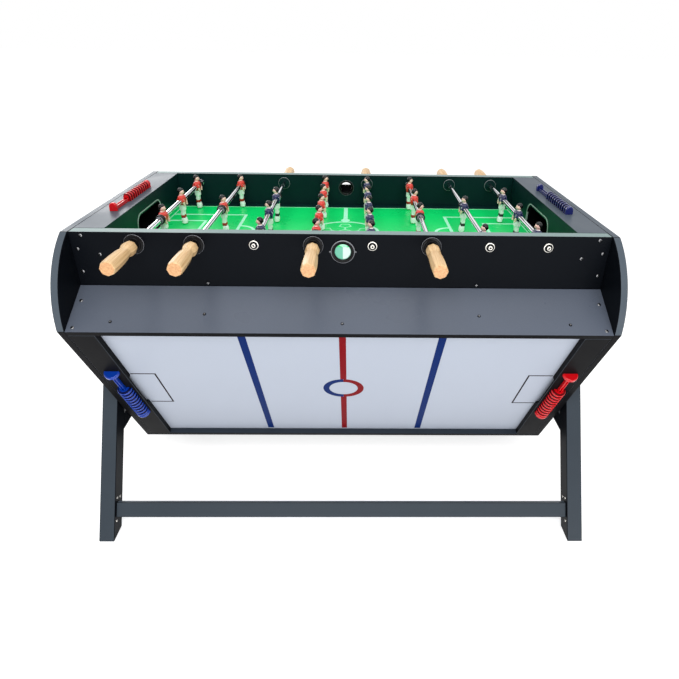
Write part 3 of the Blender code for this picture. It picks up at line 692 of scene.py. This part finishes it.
def add_football_aprons():
    """Long side boards of the football face, with bores for the rods and the ball cup."""
    thickness = 0.028
    tube_bore = 0.0072
    core_bore = 0.0046
    cup_bore = 0.0185
    start = football_inner - 0.01
    reach = 0.05
    for side, where in fronts:
        shape = Shape("black", "front rim", "wall")
        outline = [(side * across, up) for across, up in apron_outline(thickness)]
        faces = shape.prism(outline, -inner_half + seat_gap, inner_half - seat_gap, football)
        for face in faces:
            # The top is painted light with a painted green reflection; the inner face carries the painted
            # green reflection of the pitch.
            face.material_index = 1 if face.normal.z > 0.5 else 2 if face.normal.y * side < -0.9 else 0
        shape.ease(faces, apron_ease, finish=0)
        apron = shape.finish("football_apron_%s_board" % where, "cabinet", "black_board",
                             ["football_apron_" + where])
        cutters = Shape("black")
        cutters.lathe([(cup_bore, 0), (cup_bore, reach)], wall_frame(side, 0, start, cup_level))
        for rod in rods:
            radius = tube_bore if rod["side"] == side else core_bore
            place = wall_frame(side, rod["x"], start, rod_level)
            cutters.lathe([(radius, 0), (radius, reach)], place, sides=24)
        cut(apron, cutters)


def add_football_ends():
    """End rails with the goal wall below, the arched goal and its pale edging."""
    wall = opening_half + 0.012
    back = inner_half - seat_gap
    underside = face_reach - 0.016
    foot = football_floor + seat_gap
    reach = football_inner - seat_gap
    outline = [(opening_half, face_reach), (back, face_reach), (back, underside), (wall, underside),
               (wall, foot), (opening_half, foot)]
    trim_front, trim_back = opening_half - 0.0006, opening_half + 0.004
    trim_edges = list(zip(goal_arch(foot, -0.0004), goal_arch(foot, 0.0024)))
    for side, where in ends:
        shape = Shape("rim", "wall", "black")
        faces = shape.loft([[(side * along, across, up) for along, up in outline]
                            for across in (-reach, reach)], 0, football)
        for face in faces:
            # The top is painted lighter as lit; the inner face carries the painted green reflection of the
            # pitch.
            face.material_index = 0 if face.normal.z > 0.5 else 1 if face.normal.x * side < -0.5 else 2
        shape.ease(faces, rail_ease)
        rail = shape.finish("football_end_%s_board" % where, "cabinet", "grey_board",
                            ["football_end_" + where])
        cutters = Shape("black")
        cutters.loft([[(side * along, *point) for point in goal_arch(foot - 0.004, 0)]
                      for along in (opening_half - 0.004, wall + 0.004)], 0, football)
        cut(rail, cutters)
        trim = Shape("trim")
        trim.loft([[(side * trim_front, *inside), (side * trim_front, *outside),
                    (side * trim_back, *outside), (side * trim_back, *inside)]
                   for inside, outside in trim_edges], 0, football)
        trim.finish("goal_trim_" + where, "cabinet", "black_plastic")
        add_goal_box(side, where, foot, wall)


def goal_arch(foot, spare):
    """The goal's outline from one foot round to the other, widened by a little."""
    half = 0.092 + spare
    top = foot + 0.064 + spare
    radius = 0.030
    right = arc((half - radius, top - radius), radius, 0, 90, 8)
    left = arc((-half + radius, top - radius), radius, 90, 180, 8)
    return [(half, foot)] + right + left + [(-half, foot)]


def add_goal_box(side, where, foot, wall):
    """A thin black box behind the goal that catches the ball."""
    half = 0.098
    top = foot + 0.070
    sheet = 0.0012
    back = inner_half - sheet
    front = wall + seat_gap
    # Back, two sides, top and floor, from front to back and from one low corner to the high one
    sheets = ((back - sheet, back, (-half, foot), (half, top), rail_ease),
              (front, back, (-half, foot), (sheet - half, top), rail_ease),
              (front, back, (half - sheet, foot), (half, top), rail_ease),
              (front, back, (-half, top - sheet), (half, top), rail_ease),
              (wall - 0.022, back - sheet, (sheet - half, football_floor - paint_sink),
               (half - sheet, football_floor + sheet / 2), paint_sink))
    shape = Shape("rail")
    for near, far, low, high, ease in sheets:
        start, end = span(side, near, far)
        shape.bar((start, *low), (end, *high), football, ease=ease)
    shape.finish("goal_box_" + where, "cabinet", "black_plastic")


def add_pitch():
    """The pitch board, its painted lines and strips of painted shade along the walls."""
    softened("football_field", "pitch_green", ["pitch"], thin_ease, name="pitch_board")
    line, thin, halfway = 0.0085, 0.0030, 0.012
    border_x, border_y = 0.512, 0.241
    box_x = 0.298
    boxes = ((box_x, 0.152), (0.403, 0.090))
    bow = 0.046
    ring = 0.092
    spot, spot_radius = 0.108, 0.013
    shade_strip_inner = 0.2445
    shade_strip = football_inner - shade_strip_inner - 0.001
    border = [(-border_x, -border_y), (border_x, -border_y), (border_x, border_y), (-border_x, border_y)]
    paint = Paint(football, football_floor, "mint", "wall")
    # Painted shade: dark strips in the walls' colour between the border and each long wall.
    for side in (-1, 1):
        middle = side * (shade_strip_inner + football_inner) / 2
        paint.line([(-border_x, middle), (border_x, middle)], shade_strip, 1)
    paint.line(border, thin, closed=True)
    paint.line(arc((0, 0), ring, 0, 360, 64)[:-1], line, closed=True, layer=2)
    for side in (-1, 1):
        paint.line([(0, side * ring), (0, side * border_y)], halfway, layer=1)
        paint.dot((0, side * spot), spot_radius, 3)
    for side, start in ((-1, -90), (1, 90)):
        for x, y in boxes:
            paint.line([(side * border_x, y), (side * x, y), (side * x, -y), (side * border_x, -y)], line,
                       layer=1)
        paint.line(arc((side * box_x, 0), bow, start, start + 180, 24), line, layer=2)
    add_ball_print(paint)
    paint.finish("pitch_lines", "cabinet", "pitch_green")


def add_ball_print(paint):
    """A plain football printed in the centre circle: patches and the seams between them."""
    patch = 0.022
    outer_patch = patch * 0.8
    ring = 0.056
    seam = 0.0026
    for index in range(5):
        lean = 90 + index * 72
        out = Vector((math.cos(math.radians(lean)), math.sin(math.radians(lean))))
        paint.line([out * patch, out * (ring - outer_patch)], seam, layer=3)
        corners = [out * ring + Vector(point)
                   for point in arc((0, 0), outer_patch, lean + 36, lean + 324, 4)]
        paint.line(corners, seam, closed=True, layer=4)
    paint.line(arc((0, 0), patch, 90, 378, 4), seam, closed=True, layer=5)


# Football rods

def read_rods():
    """Each rod's place and handle side, and its row of players, from the frame."""
    bumper_reach = 0.028
    free_half = 0.2727
    # Players, their spacing, and how far their row stands off the middle as a share of its play
    rows = ((3, 0.164, 0.74), (2, 0.250, 0.97), (3, 0.146, 0.61), (5, 0.113, 0.93),
            (5, 0.113, -0.30), (3, 0.146, 0.86), (2, 0.250, 0.96), (3, 0.164, 0.72))
    found = []
    for number, (count, spacing, share) in enumerate(rows, 1):
        side = 1 if joints["rod_%d_slide" % number]["axis"][1] > 0 else -1
        reach = spacing * (count - 1) / 2 + bumper_reach
        found.append({"number": number, "x": joints["rod_%d_spin" % number]["pos_m"][0], "side": side,
                      "count": count, "spacing": spacing, "reach": reach,
                      "middle": -side * share * (free_half - reach)})
    return found


rods = read_rods()


def hair_shape(way):
    """Hair lies over the crown and the back of the head and leaves the face free."""
    if way.x > 0.15 and way.z < 0.42:
        return way * 0.86
    if way.z < -0.45:
        return way * 0.88
    return way


def jaw_shape(way):
    """A head that narrows to its chin."""
    if way.z < 0:
        return Vector((way.x * (1 + 0.10 * way.z), way.y * (1 + 0.30 * way.z), way.z))
    return way


def body_ring(half_x, half_y, x, height, y):
    """One level of a figure: a ring between an ellipse and a rectangle."""
    sides = 16
    square = 2.6
    ring = []
    for step in range(sides):
        turn = 2 * math.pi * (step + 0.5) / sides
        way = [math.copysign(abs(part) ** (2 / square), part) for part in (math.cos(turn), math.sin(turn))]
        ring.append((x + half_x * way[0], y + half_y * way[1], height))
    return ring


def add_player(shape, place):
    """A moulded figure facing +X, from tables in tenths of a millimetre."""
    hair, skin, shirt, band, legs, sock, boot = range(7)

    def column(finish, levels, y=0.0):
        """Levels of half depth, half width, middle and height."""
        shape.loft([body_ring(*level, y) for level in metres(levels)], finish, place)

    def lump(finish, centre, size, rows, columns, form=None):
        shape.ball(*metres((centre, size)), finish, place, rows, columns, form)

    def arm(finish, points, radii):
        shape.limb(metres(points), *metres([radii]), finish, place)

    column(boot, [(64, 82, 14, -650), (74, 92, 16, -640), (80, 98, 14, -570), (72, 94, 8, -515),
                  (54, 86, 0, -480)])
    for y in both(0.0046):
        column(sock, [(50, 38, 0, -490), (60, 46, 0, -474), (60, 46, -2, -420), (52, 40, -2, -408)], y)
        column(legs, [(46, 38, 0, -430), (58, 44, -4, -370), (54, 42, 2, -310), (62, 46, 2, -240),
                      (66, 50, 0, -170)], y)
    column(legs, [(80, 98, 2, -272), (88, 106, 2, -262), (88, 106, 2, -180), (80, 98, 0, -108)])
    column(shirt, [(82, 98, 2, -124), (90, 106, 2, -112), (106, 112, 8, -20), (110, 122, 10, 60),
                   (98, 124, 8, 100), (72, 92, 6, 128), (50, 56, 6, 140)])
    column(band, [(46, 54, 2, 130), (50, 58, 2, 140), (44, 50, 2, 154)])
    column(skin, [(36, 38, 2, 146), (36, 38, 4, 176)])
    along_rod = place @ aim((0, 0, 0), (0, 1, 0))
    for finish, radius, spans in ((shirt, 104, ((-128, -112), (-96, 96), (112, 128))),
                                  (band, 106, ((-114, -94), (94, 114)))):
        for start, end in spans:
            shape.sleeve([(66, start), (radius - 4, start), (radius, start + 5), (radius, end - 5),
                          (radius - 4, end), (66, end)], 0.0003, along_rod, finish, 24)
    for side in (-1, 1):
        lump(shirt, (8, side * 112, 70), (80, 50, 66), 8, 14)
        arm(shirt, [(12, side * 122, 78), (48, side * 126, 20), (76, side * 122, -30)], (48, 48, 42))
        arm(skin, [(74, side * 122, -24), (92, side * 112, -82), (98, side * 106, -112)], (36, 32, 24))
        lump(skin, (100, side * 104, -122), (28, 24, 28), 6, 10)
    lump(skin, (12, 0, 226), (78, 74, 84), 12, 20, jaw_shape)
    lump(hair, (0, 0, 244), (85, 81, 94), 12, 20, hair_shape)
    lump(skin, (88, 0, 218), (13, 11, 16), 6, 10)
    for side in (-1, 1):
        lump(skin, (6, side * 77, 222), (14, 9, 19), 6, 8)
        lump(hair, (81, side * 28, 240), (6, 10, 6), 5, 8)
    lump(shirt, (83, 0, 188), (6, 18, 5), 5, 8)


def add_rod(rod):
    """A rod's tube, bumpers, players, core and handle."""
    number, side, x = rod["number"], rod["side"], rod["x"]
    slider = "rod_%d_slider" % number
    level = pivot.z + rod_level
    low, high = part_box("rod_men_%d" % number)
    grip_low, grip_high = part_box("handle_%d" % number)
    far_end = high.y if side < 0 else low.y
    grip_start = grip_high.y if side < 0 else grip_low.y
    bore, radius = 0.0046, 0.00635
    inside_grip = 0.02
    length = abs(grip_start - far_end) + inside_grip
    tube = Shape("steel")
    tube.lathe(rounded([(bore, 0), (radius, 0), (radius, length), (bore, length)], 0.0003, True),
               aim((x, far_end, level), (0, side, 0)), 0, 32, True)
    tube.finish("rod_%d_tube" % number, slider, "steel", ["rod_men_%d" % number])
    bumpers = Shape("rubber", "ring")
    for end in (-1, 1):
        place = aim((x, rod["middle"] + end * rod["reach"], level), (0, -end, 0))
        bumpers.sleeve([(64, 4), (108, 4), (119, 20), (119, 50), (104, 62), (104, 78), (119, 90),
                        (119, 118), (105, 138), (64, 138)], 0.0008, place, 0, 32)
        # A thin pale ring on each bumper's end: painted highlight.
        bumpers.sleeve([(64, 1), (88, 1), (92, 5), (64, 5)], 0.0002, place, 1, 32)
    bumpers.finish("rod_%d_bumpers" % number, slider, "black_plastic")
    team = "red" if side < 0 else "blue"
    players = Shape("hair", "skin", team + " shirt", team + " band", "legs", team + " sock", "boot")
    facing = Matrix.Rotation(0 if side < 0 else math.pi, 4, "Z")
    for man in range(rod["count"]):
        across = rod["middle"] + (man - (rod["count"] - 1) / 2) * rod["spacing"]
        add_player(players, Matrix.Translation((x, across, level)) @ facing)
    players.finish("rod_%d_players" % number, slider, team + "_players")
    add_core(number, x, -side)
    add_handle(number, aim((x, grip_start, level), (0, side, 0)))


def add_core(number, x, far):
    """The inner rod with its collar, and outside the far apron a washer and a socket bolt."""
    core = Shape("steel", "zinc", "black")
    # The sections below are in tenths of a millimetre
    inside = wall_frame(far, x, football_inner, rod_level)
    outside = wall_frame(far, x, half_width + seat_gap, rod_level)
    core.lathe(rounded(metres([(39, -3590), (39, -37), (89, -37), (89, -4), (39, -4), (39, 284)]), 0.0005),
               inside, 0, 24)
    core.sleeve([(44, 0), (109, 0), (109, 12), (102, 19), (86, 21), (44, 14)], 0.0004, outside, 1, 40)
    core.lathe(metres([(88, 12), (88, 22.5), (54, 22.5), (54, 12)]), outside, 2, 40, True)
    core.lathe(rounded(metres([(34, -10), (53, 12), (53, 52), (44, 66), (24, 67), (18, 52)]), 0.0005),
               outside, 1, 32)
    core.lathe(metres([(18, 53), (18, 56)]), outside, 2, 6)
    core.finish("rod_%d_inner" % number, "rod_%d_core" % number, "steel", ["rod_core_%d" % number])


def octagon_ring(radius, height):
    """An eight-sided ring with softened corners."""
    points = 48
    half_side = math.pi / 8
    soft = 0.988
    ring = []
    for step in range(points):
        turn = 2 * math.pi * step / points
        inside = (turn + half_side) % (2 * half_side) - half_side
        reach = min(radius * math.cos(half_side) / math.cos(inside), radius * soft)
        ring.append((reach * math.cos(turn + half_side), reach * math.sin(turn + half_side), height))
    return ring


def add_handle(number, place):
    """A waisted eight-sided wooden grip with a chamfered collar and a flat end."""
    length = 0.127
    radius = 0.0165
    shares = ((0.000, 0.74), (0.003, 0.83), (0.012, 0.90), (0.05, 0.955), (0.10, 0.970), (0.17, 0.960),
              (0.205, 0.90), (0.25, 0.80), (0.28, 0.77), (0.31, 0.80), (0.36, 0.87), (0.44, 0.92),
              (0.56, 0.965), (0.70, 0.995), (0.82, 1.00), (0.93, 0.990), (0.975, 0.965), (0.988, 0.94),
              (1.000, 0.87))
    handle = Shape("wood", "end grain")
    faces = handle.loft([octagon_ring(radius * reach, along * length) for along, reach in shares], 0, place)
    faces[1].material_index = 1
    handle.finish("handle_%d_grip" % number, "rod_%d_slider" % number, "handle_wood",
                  ["handle_%d" % number], smooth=18)


# Bead scorers

def add_scorers():
    """Four scorers in their colours, each with its beads at one end of the track at rest."""
    narrow, wide = 0.0095, 0.0185
    rows = (("football_left", football, "red bead", 1, narrow),
            ("football_right", football, "navy bead", -1, narrow),
            ("hockey_left", hockey, "blue bead", -1, wide), ("hockey_right", hockey, "red bead", -1, wide))
    for name, place, colour, rest_end, spread in rows:
        face, side = name.split("_")
        low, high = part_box("%s_scorer_%s" % (face, side))
        centre = place.inverted() @ ((low + high) / 2)
        local = place @ Matrix.Translation((centre.x, centre.y, face_reach + seat_gap))
        slot = "red_beads" if colour == "red bead" else "blue_beads"
        add_scorer_track("%s_scorer_%s" % (face, side), local, colour, slot, spread)
        add_beads(face, side, local, colour, slot, spread, rest_end)


def half_round(spread, drop):
    """A round-topped section on a flat foot, drawn in by a drop, from one side over to the other."""
    steps = 22
    reach = spread - drop
    spring = scorer_height - drop - reach
    turns = [math.pi * step / steps for step in range(steps + 1)]
    top = [(reach * math.cos(turn), spring + reach * math.sin(turn)) for turn in turns]
    return [(reach, 0), *top, (-reach, 0)]


def add_scorer_track(node, local, colour, slot, spread):
    """A low track with two ridges, between two round-topped caps."""
    run = scorer_half - scorer_cap / 2
    cap_start = scorer_half - scorer_cap
    profile = [(cap_start, 0.0018), (cap_start + 0.0006, 0.0006), (cap_start + 0.0018, 0),
               (scorer_half - 0.0026, 0), (scorer_half - 0.0010, 0.0005), (scorer_half - 0.0002, 0.0014),
               (scorer_half, 0.0024)]
    base_half, base_top = 0.0049, 0.0050
    ridge, ridge_half, ridge_foot, ridge_top = 0.0038, 0.0011, 0.0044, 0.0089
    track = Shape(colour)
    track.bar((-base_half, -run, 0), (base_half, run, base_top), local)
    for across in both(ridge):
        track.bar((across - ridge_half, -run, ridge_foot), (across + ridge_half, run, ridge_top), local)
    for end in (-1, 1):
        track.loft([[(across, end * along, up) for across, up in half_round(spread, drop)]
                    for along, drop in profile], 0, local)
    track.finish(node + "_track", "cabinet", slot, [node])


def add_beads(face, side, local, colour, slot, spread, rest_end):
    """Ten ribbed beads in a row, hollowed over the track, with painted shade on the faces of the gaps
    between them.
    """
    start = scorer_half - scorer_cap - seat_gap
    pitch = 0.0148
    width = pitch - seat_gap
    notch = 0.0050 + seat_gap
    crown = 0.0090 + seat_gap
    groove = min(0.0055, spread - notch - 0.0016)
    hollow = [(-notch, 0), (-notch, crown), (notch, crown), (notch, 0)]
    shade_from = 0.20
    profile = ((0.000, 1.00), (0.180, 1.00), (0.240, 0.90), (0.300, 0.24), (0.350, 0.06), (0.420, 0.00),
               (0.600, 0.00), (0.670, 0.06), (0.720, 0.24), (0.780, 0.90), (0.840, 1.00), (1.000, 1.00))
    beads = Shape(colour, "deep " + colour)
    for bead in range(10):
        rings = []
        for share, deep in profile:
            along = rest_end * (start - bead * pitch - share * width)
            rings.append([(across, along, up) for across, up in half_round(spread, deep * groove) + hollow])
        for index, rib in enumerate(beads.loft(rings, 0, local)[2:]):
            step = index // len(rings[0])
            # Painted shade: the faces deep in each gap take the dark copy of the bead colour.
            rib.material_index = 1 if min(profile[step][1], profile[step + 1][1]) > shade_from else 0
    beads.finish("%s_scorer_%s_sliders" % (face, side), "%s_beads_%s" % (face, side), slot,
                 ["%s_scorer_%s_beads" % (face, side)], smooth=50)


# Hockey face

def add_hockey():
    """White rink with its lines, the frame of rails round it and the two long aprons."""
    for where in ("left", "right"):
        # The rails' eased edges carry a painted highlight in the lit face colour.
        softened("hockey_end_" + where, "black_board", ["rail", "painted lit face"], rail_ease, edge=1)
    # The upper apron's faces are painted lighter as lit, the lower one's a dimmer lit copy.
    for where, finish in (("upper", "shelf"), ("lower", "dark painted lit face")):
        softened("hockey_apron_" + where, "grey_board", [finish, "rail"], rail_ease, rail_on_top)
    softened("hockey_field", "rink_white", ["rink"], thin_ease, name="rink_board")
    blue, red, thin = range(3)
    lower, upper = -0.283, 0.289
    blue_width, centre_width, thin_width = 0.018, 0.016, 0.0042
    ring_outer, ring_inner = 0.0535, 0.0376
    band = ring_outer - ring_inner
    middle = (ring_outer + ring_inner) / 2
    box_x, box_high, box_low = 0.4735, 0.079, -0.089
    paint = Paint(hockey, hockey_floor, "blue line", "red line", "thin line")
    for x in both(0.226):
        paint.line([(x, lower), (x, upper)], blue_width, blue)
    for end in (lower, upper):
        paint.line([(0, math.copysign(ring_outer, end)), (0, end)], centre_width, red)
    paint.line(arc((0, 0), middle, 90, 270, 32), band, blue)
    paint.line(arc((0, 0), middle, -90, 90, 32), band, red)
    for side in (-1, 1):
        edge = side * (hockey_opening_half - 0.001)
        box = [(edge, box_high), (side * box_x, box_high), (side * box_x, box_low), (edge, box_low)]
        paint.line(box, thin_width, thin)
    paint.finish("rink_lines", "cabinet", "rink_white")


def rail_on_top(face):
    """The rail finish for a hockey apron's faces that look out of the rink."""
    return 1 if (hockey.to_3x3().inverted() @ face.normal).z > 0.5 else 0


# Pool face

def add_pool():
    """Cloth bed, undercut cushions, black rail tops with sights, and lined pockets."""
    for where in ("upper", "lower"):
        softened("pool_apron_" + where, "black_board", ["black"], rail_ease)
    softened("pool_bed", "pool_cloth", ["cloth"], thin_ease)
    softened("pool_rail_frame", "pool_cloth", ["rail", "cloth"], rail_ease, cloth_inside, name="pool_rails")
    half_x, half_y = 0.535, 0.235
    near, far = 0.0004, 0.022
    bottom, top = face_reach - 0.001, face_reach + 0.0012
    long_cushions = ((-0.512, -0.034), (0.034, 0.512))
    short_cushion = 0.212
    sight = 0.0035
    cloth = Shape("cloth")
    for side in (-1, 1):
        y = span(side, half_y + near, half_y + far)
        for low, high in long_cushions:
            cloth.bar((low, y[0], bottom), (high, y[1], top), pool, ease=cloth_ease)
        x = span(side, half_x + near, half_x + far)
        cloth.bar((x[0], -short_cushion, bottom), (x[1], short_cushion, top), pool, ease=cloth_ease)
    cloth.finish("cushion_cloth", "cabinet", "pool_cloth")
    sights = Paint(pool, face_reach + 0.0001, "ivory")
    for share in (-0.75, -0.5, -0.25, 0.25, 0.5, 0.75):
        for y in both(0.273):
            sights.dot((share * half_x, y), sight)
    for share in (-0.5, 0, 0.5):
        for x in both(0.577):
            sights.dot((x, share * half_y), sight)
    sights.finish("rail_sights", "cabinet", "black_plastic")
    pockets = Shape("plastic")
    for x, across in ((-0.545, 0.245), (0.545, 0.245), (0, 0.252)):
        for y in both(across):
            add_pocket_rim(pockets, x, y)
    pockets.finish("pocket_rims", "cabinet", "black_plastic")


def cloth_inside(face):
    """The cloth finish for the pool rails' faces round the bed."""
    reach_x, reach_y = 0.56, 0.27
    normal = pool.to_3x3().inverted() @ face.normal
    centre = pool.inverted() @ face.calc_center_median()
    return 1 if normal.z < 0.5 and abs(centre.x) < reach_x and abs(centre.y) < reach_y else 0


def add_pocket_rim(shape, x, y):
    """A moulded rim round the outer side of a pocket."""
    away = math.degrees(math.atan2(y, x))
    spread = 118 if x else 84
    steps = 28
    section = metres([(262, -200), (258, 10), (278, 24), (318, 22), (330, -4), (274, -10), (274, -200)])
    turns = [math.radians(away - spread + 2 * spread * step / steps) for step in range(steps + 1)]
    shape.loft([[(x + reach * math.cos(turn), y + reach * math.sin(turn), face_reach + height)
                 for reach, height in section] for turn in turns], 0, pool)


# Stand

def add_stand():
    """Legs, crossbars, stretchers, pivot plates and lock knobs."""
    leg_ease, stretcher_ease, plate_ease = 0.0014, 0.0011, 0.0007
    for side, end in ends:
        # Painted light: the legs' and crossbars' outer faces take a lighter lit copy of the black laminate;
        # the inward faces and eased edges stay black.
        def inside(face, side=side):
            return 1 if face.normal.x * side < -0.5 else 0
        for node in ("leg_front_" + end, "leg_rear_" + end, "crossbar_" + end):
            softened(node, "leg_board", ["painted lit face", "black"], leg_ease, inside, 1, body="stand")
        softened("pivot_bracket_" + end, "dark_steel", ["dark steel"], plate_ease,
                 name="pivot_plate_" + end, body="stand")
        add_lock_knob(side, end)
    for where in ("front", "rear"):
        # Stretchers: faces painted lighter as lit, tops lighter still as a painted highlight line, eased
        # edges black.
        softened("stretcher_" + where, "leg_board", ["painted lit face", "rim", "black"], stretcher_ease,
                 lambda face: 1 if face.normal.z > 0.5 else 0, 2, body="stand")


def add_lock_knob(side, end):
    """A steel pin with a fluted knob."""
    low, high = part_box("lock_pin_" + end)
    centre = (low + high) / 2
    length = high.x - low.x
    grip = 0.024
    shoulder = length - grip
    start = aim((low.x if side > 0 else high.x, centre.y, centre.z), (side, 0, 0))
    knob = Shape("plastic", "steel")
    knob.lathe(rounded([(0.0034, 0), (0.0049, 0.0015), (0.0049, shoulder + 0.001),
                        (0.0034, shoulder + 0.001)], 0.0003), start, 1, 32)
    profile = rounded([(0.0079, shoulder), (0.0079, shoulder + 0.006), (0.0146, shoulder + 0.011),
                       (0.0149, length - 0.0016), (0.0120, length - 0.0001), (0.0040, length - 0.0006)],
                      0.0012, steps=3)
    flutes, flute_depth, fluted_from = 24, 0.0005, 0.0125
    turns = [2 * math.pi * step / (flutes * 4) for step in range(flutes * 4)]
    rings = []
    for radius, height in profile:
        ring = []
        for turn in turns:
            groove = flute_depth * (0.5 - 0.5 * math.cos(flutes * turn)) if radius > fluted_from else 0
            ring.append(((radius - groove) * math.cos(turn), (radius - groove) * math.sin(turn), height))
        rings.append(ring)
    knob.loft(rings, 0, start)
    knob.finish("lock_knob_" + end, "lock_" + end, "black_plastic", ["lock_pin_" + end])


# Screws

def add_screws():
    """Screws through the aprons, the shelf and the stand."""
    bright, dark = 0, 1
    shape = Shape("screw", "black")

    def add_row(face, across, direction, places):
        """Screws at places along a face, each with its level, radius and finish."""
        for x, up, radius, finish in places:
            for along in both(x):
                add_screw(shape, face @ Vector((along, across, up)), direction, radius, finish)

    for side in (-1, 1):
        add_row(football, side * half_width, (0, side, 0), (
            (0.580, 0.262, 0.0040, bright), (0.580, 0.209, 0.0040, bright), (0.534, 0.250, 0.0040, bright),
            (0.567, 0.293, 0.0040, bright), (0.305, 0.184, 0.0050, dark)))
    add_row(hockey, half_width, hockey.to_3x3() @ Vector((0, 1, 0)), (
        (0.580, face_reach - 0.082, 0.0040, bright), (0.580, face_reach - 0.0114, 0.0040, bright),
        (0.503, face_reach - 0.027, 0.0036, dark), (0.303, face_reach - 0.0485, 0.0036, dark),
        (0, face_reach - 0.026, 0.0036, dark)))
    shape.finish("cabinet_screws", "cabinet", "dark_steel")
    add_stand_screws()


def add_stand_screws():
    """Bolts of the pivot plates, and screws above and below each stretcher's end."""
    shape = Shape("zinc", "dark steel")
    lean = math.radians(30)
    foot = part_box("leg_front_left")[0].y
    for side, end in ends:
        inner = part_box("leg_front_" + end)[1 if side < 0 else 0].x
        for fore in (-1, 1):
            for along, depth in ((0.052, 0.013), (0.114, 0.013), (0.114, 0.030)):
                across = -foot - along * math.sin(lean) - depth * math.cos(lean)
                up = along * math.cos(lean) - depth * math.sin(lean)
                add_screw(shape, (inner, fore * across, up), (-side, 0, 0), 0.0034)
        low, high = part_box("pivot_bracket_" + end)
        face = high.x if side > 0 else low.x
        for reach, up in ((0.075, -0.060), (0.050, 0.0), (0.022, 0.036)):
            for across in both(reach):
                add_bolt(shape, (face, across, pivot.z + up), (side, 0, 0), 0.0042, 0.0032)
    shape.finish("stand_bolts", "stand", "dark_steel")


# Stage, camera and light

def add_stage():
    """A pale floor that the object's shadow falls on."""
    reach = 60.0
    mesh = bpy.data.meshes.new("floor")
    mesh.from_pydata([(-reach, -reach, 0), (reach, -reach, 0), (reach, reach, 0), (-reach, reach, 0)], [],
                     [(0, 1, 2, 3)])
    floor = bpy.data.objects.new("floor", mesh)
    bpy.context.scene.collection.objects.link(floor)
    nodes = Nodes(bpy.data.materials.new("floor_pale"))
    mesh.materials.append(nodes.paint({"Base Color": (0.84, 0.84, 0.84, 1), "Roughness": 0.9,
                                       "Specular IOR Level": 0.0, "Emission Color": (1, 1, 1, 1),
                                       "Emission Strength": seen_or_lit(nodes, 0.62, 0.36)}))


def seen_or_lit(nodes, seen, lit):
    """One value for rays that see the backdrop, directly or in gloss and glass, and one for its light."""
    camera, gloss, glass = (nodes.add("LightPath", "Is %s Ray" % name)
                            for name in ("Camera", "Glossy", "Transmission"))
    sees = nodes.maths("MAXIMUM", nodes.maths("MAXIMUM", camera, gloss), glass)
    return nodes.spread(sees, lit, seen, 0.0, 1.0)


def add_light(name, place, target, width, height, power):
    data = bpy.data.lights.new(name, "AREA")
    data.shape = "RECTANGLE"
    data.size = width
    data.size_y = height
    data.energy = power
    light = bpy.data.objects.new(name, data)
    light.location = place
    light.rotation_euler = (Vector(target) - Vector(place)).to_track_quat("-Z", "Y").to_euler()
    bpy.context.scene.collection.objects.link(light)


def add_studio():
    """Even white surroundings, broad soft lights above, one low in front and one behind on the left."""
    world = bpy.data.worlds.new("studio")
    bpy.context.scene.world = world
    nodes = Nodes(world, "Background")
    nodes.paint({"Color": (1, 1, 1, 1), "Strength": seen_or_lit(nodes, 1.0, 0.50)})
    add_light("top_soft", (0, 0.2, 3.2), (0, 0, 0.6), 2.8, 2.2, 34)
    add_light("high_soft", (0.2, -2.6, 2.8), (0, 0, 0.7), 3.0, 1.2, 58)
    add_light("front_soft", (0.4, -3.5, 0.40), (0, 0, 0.4), 3.4, 0.6, 32)
    add_light("back_soft", (-2.6, 4.2, 2.1), (-0.5, 0, 0.8), 1.8, 1.4, 44)


def add_camera():
    """The photograph's view, shown with the Standard transform."""
    data = bpy.data.cameras.new("camera")
    data.sensor_fit = "HORIZONTAL"
    data.sensor_width = sensor_width
    data.lens = sensor_width * focal_pixels / image_size
    data.shift_x = (image_size / 2 - centre_pixel[0]) / image_size
    data.shift_y = (centre_pixel[1] - image_size / 2) / image_size
    data.clip_start = 0.05
    data.clip_end = 200
    camera = bpy.data.objects.new("camera", data)
    turn = Matrix.Rotation(-camera_yaw, 4, "Z") @ Matrix.Rotation(math.pi / 2 - camera_pitch, 4, "X")
    camera.matrix_world = Matrix.Translation(camera_place) @ turn @ Matrix.Rotation(camera_roll, 4, "Z")
    bpy.context.scene.collection.objects.link(camera)
    bpy.context.scene.camera = camera
    bpy.context.scene.view_settings.view_transform = "Standard"


def build():
    add_camera()
    add_studio()
    add_stage()
    add_end_panels()
    add_football_aprons()
    add_bushes()
    add_ball_cups()
    add_football_ends()
    add_pitch()
    for rod in rods:
        add_rod(rod)
    add_scorers()
    add_hockey()
    add_pool()
    add_stand()
    add_screws()


build()
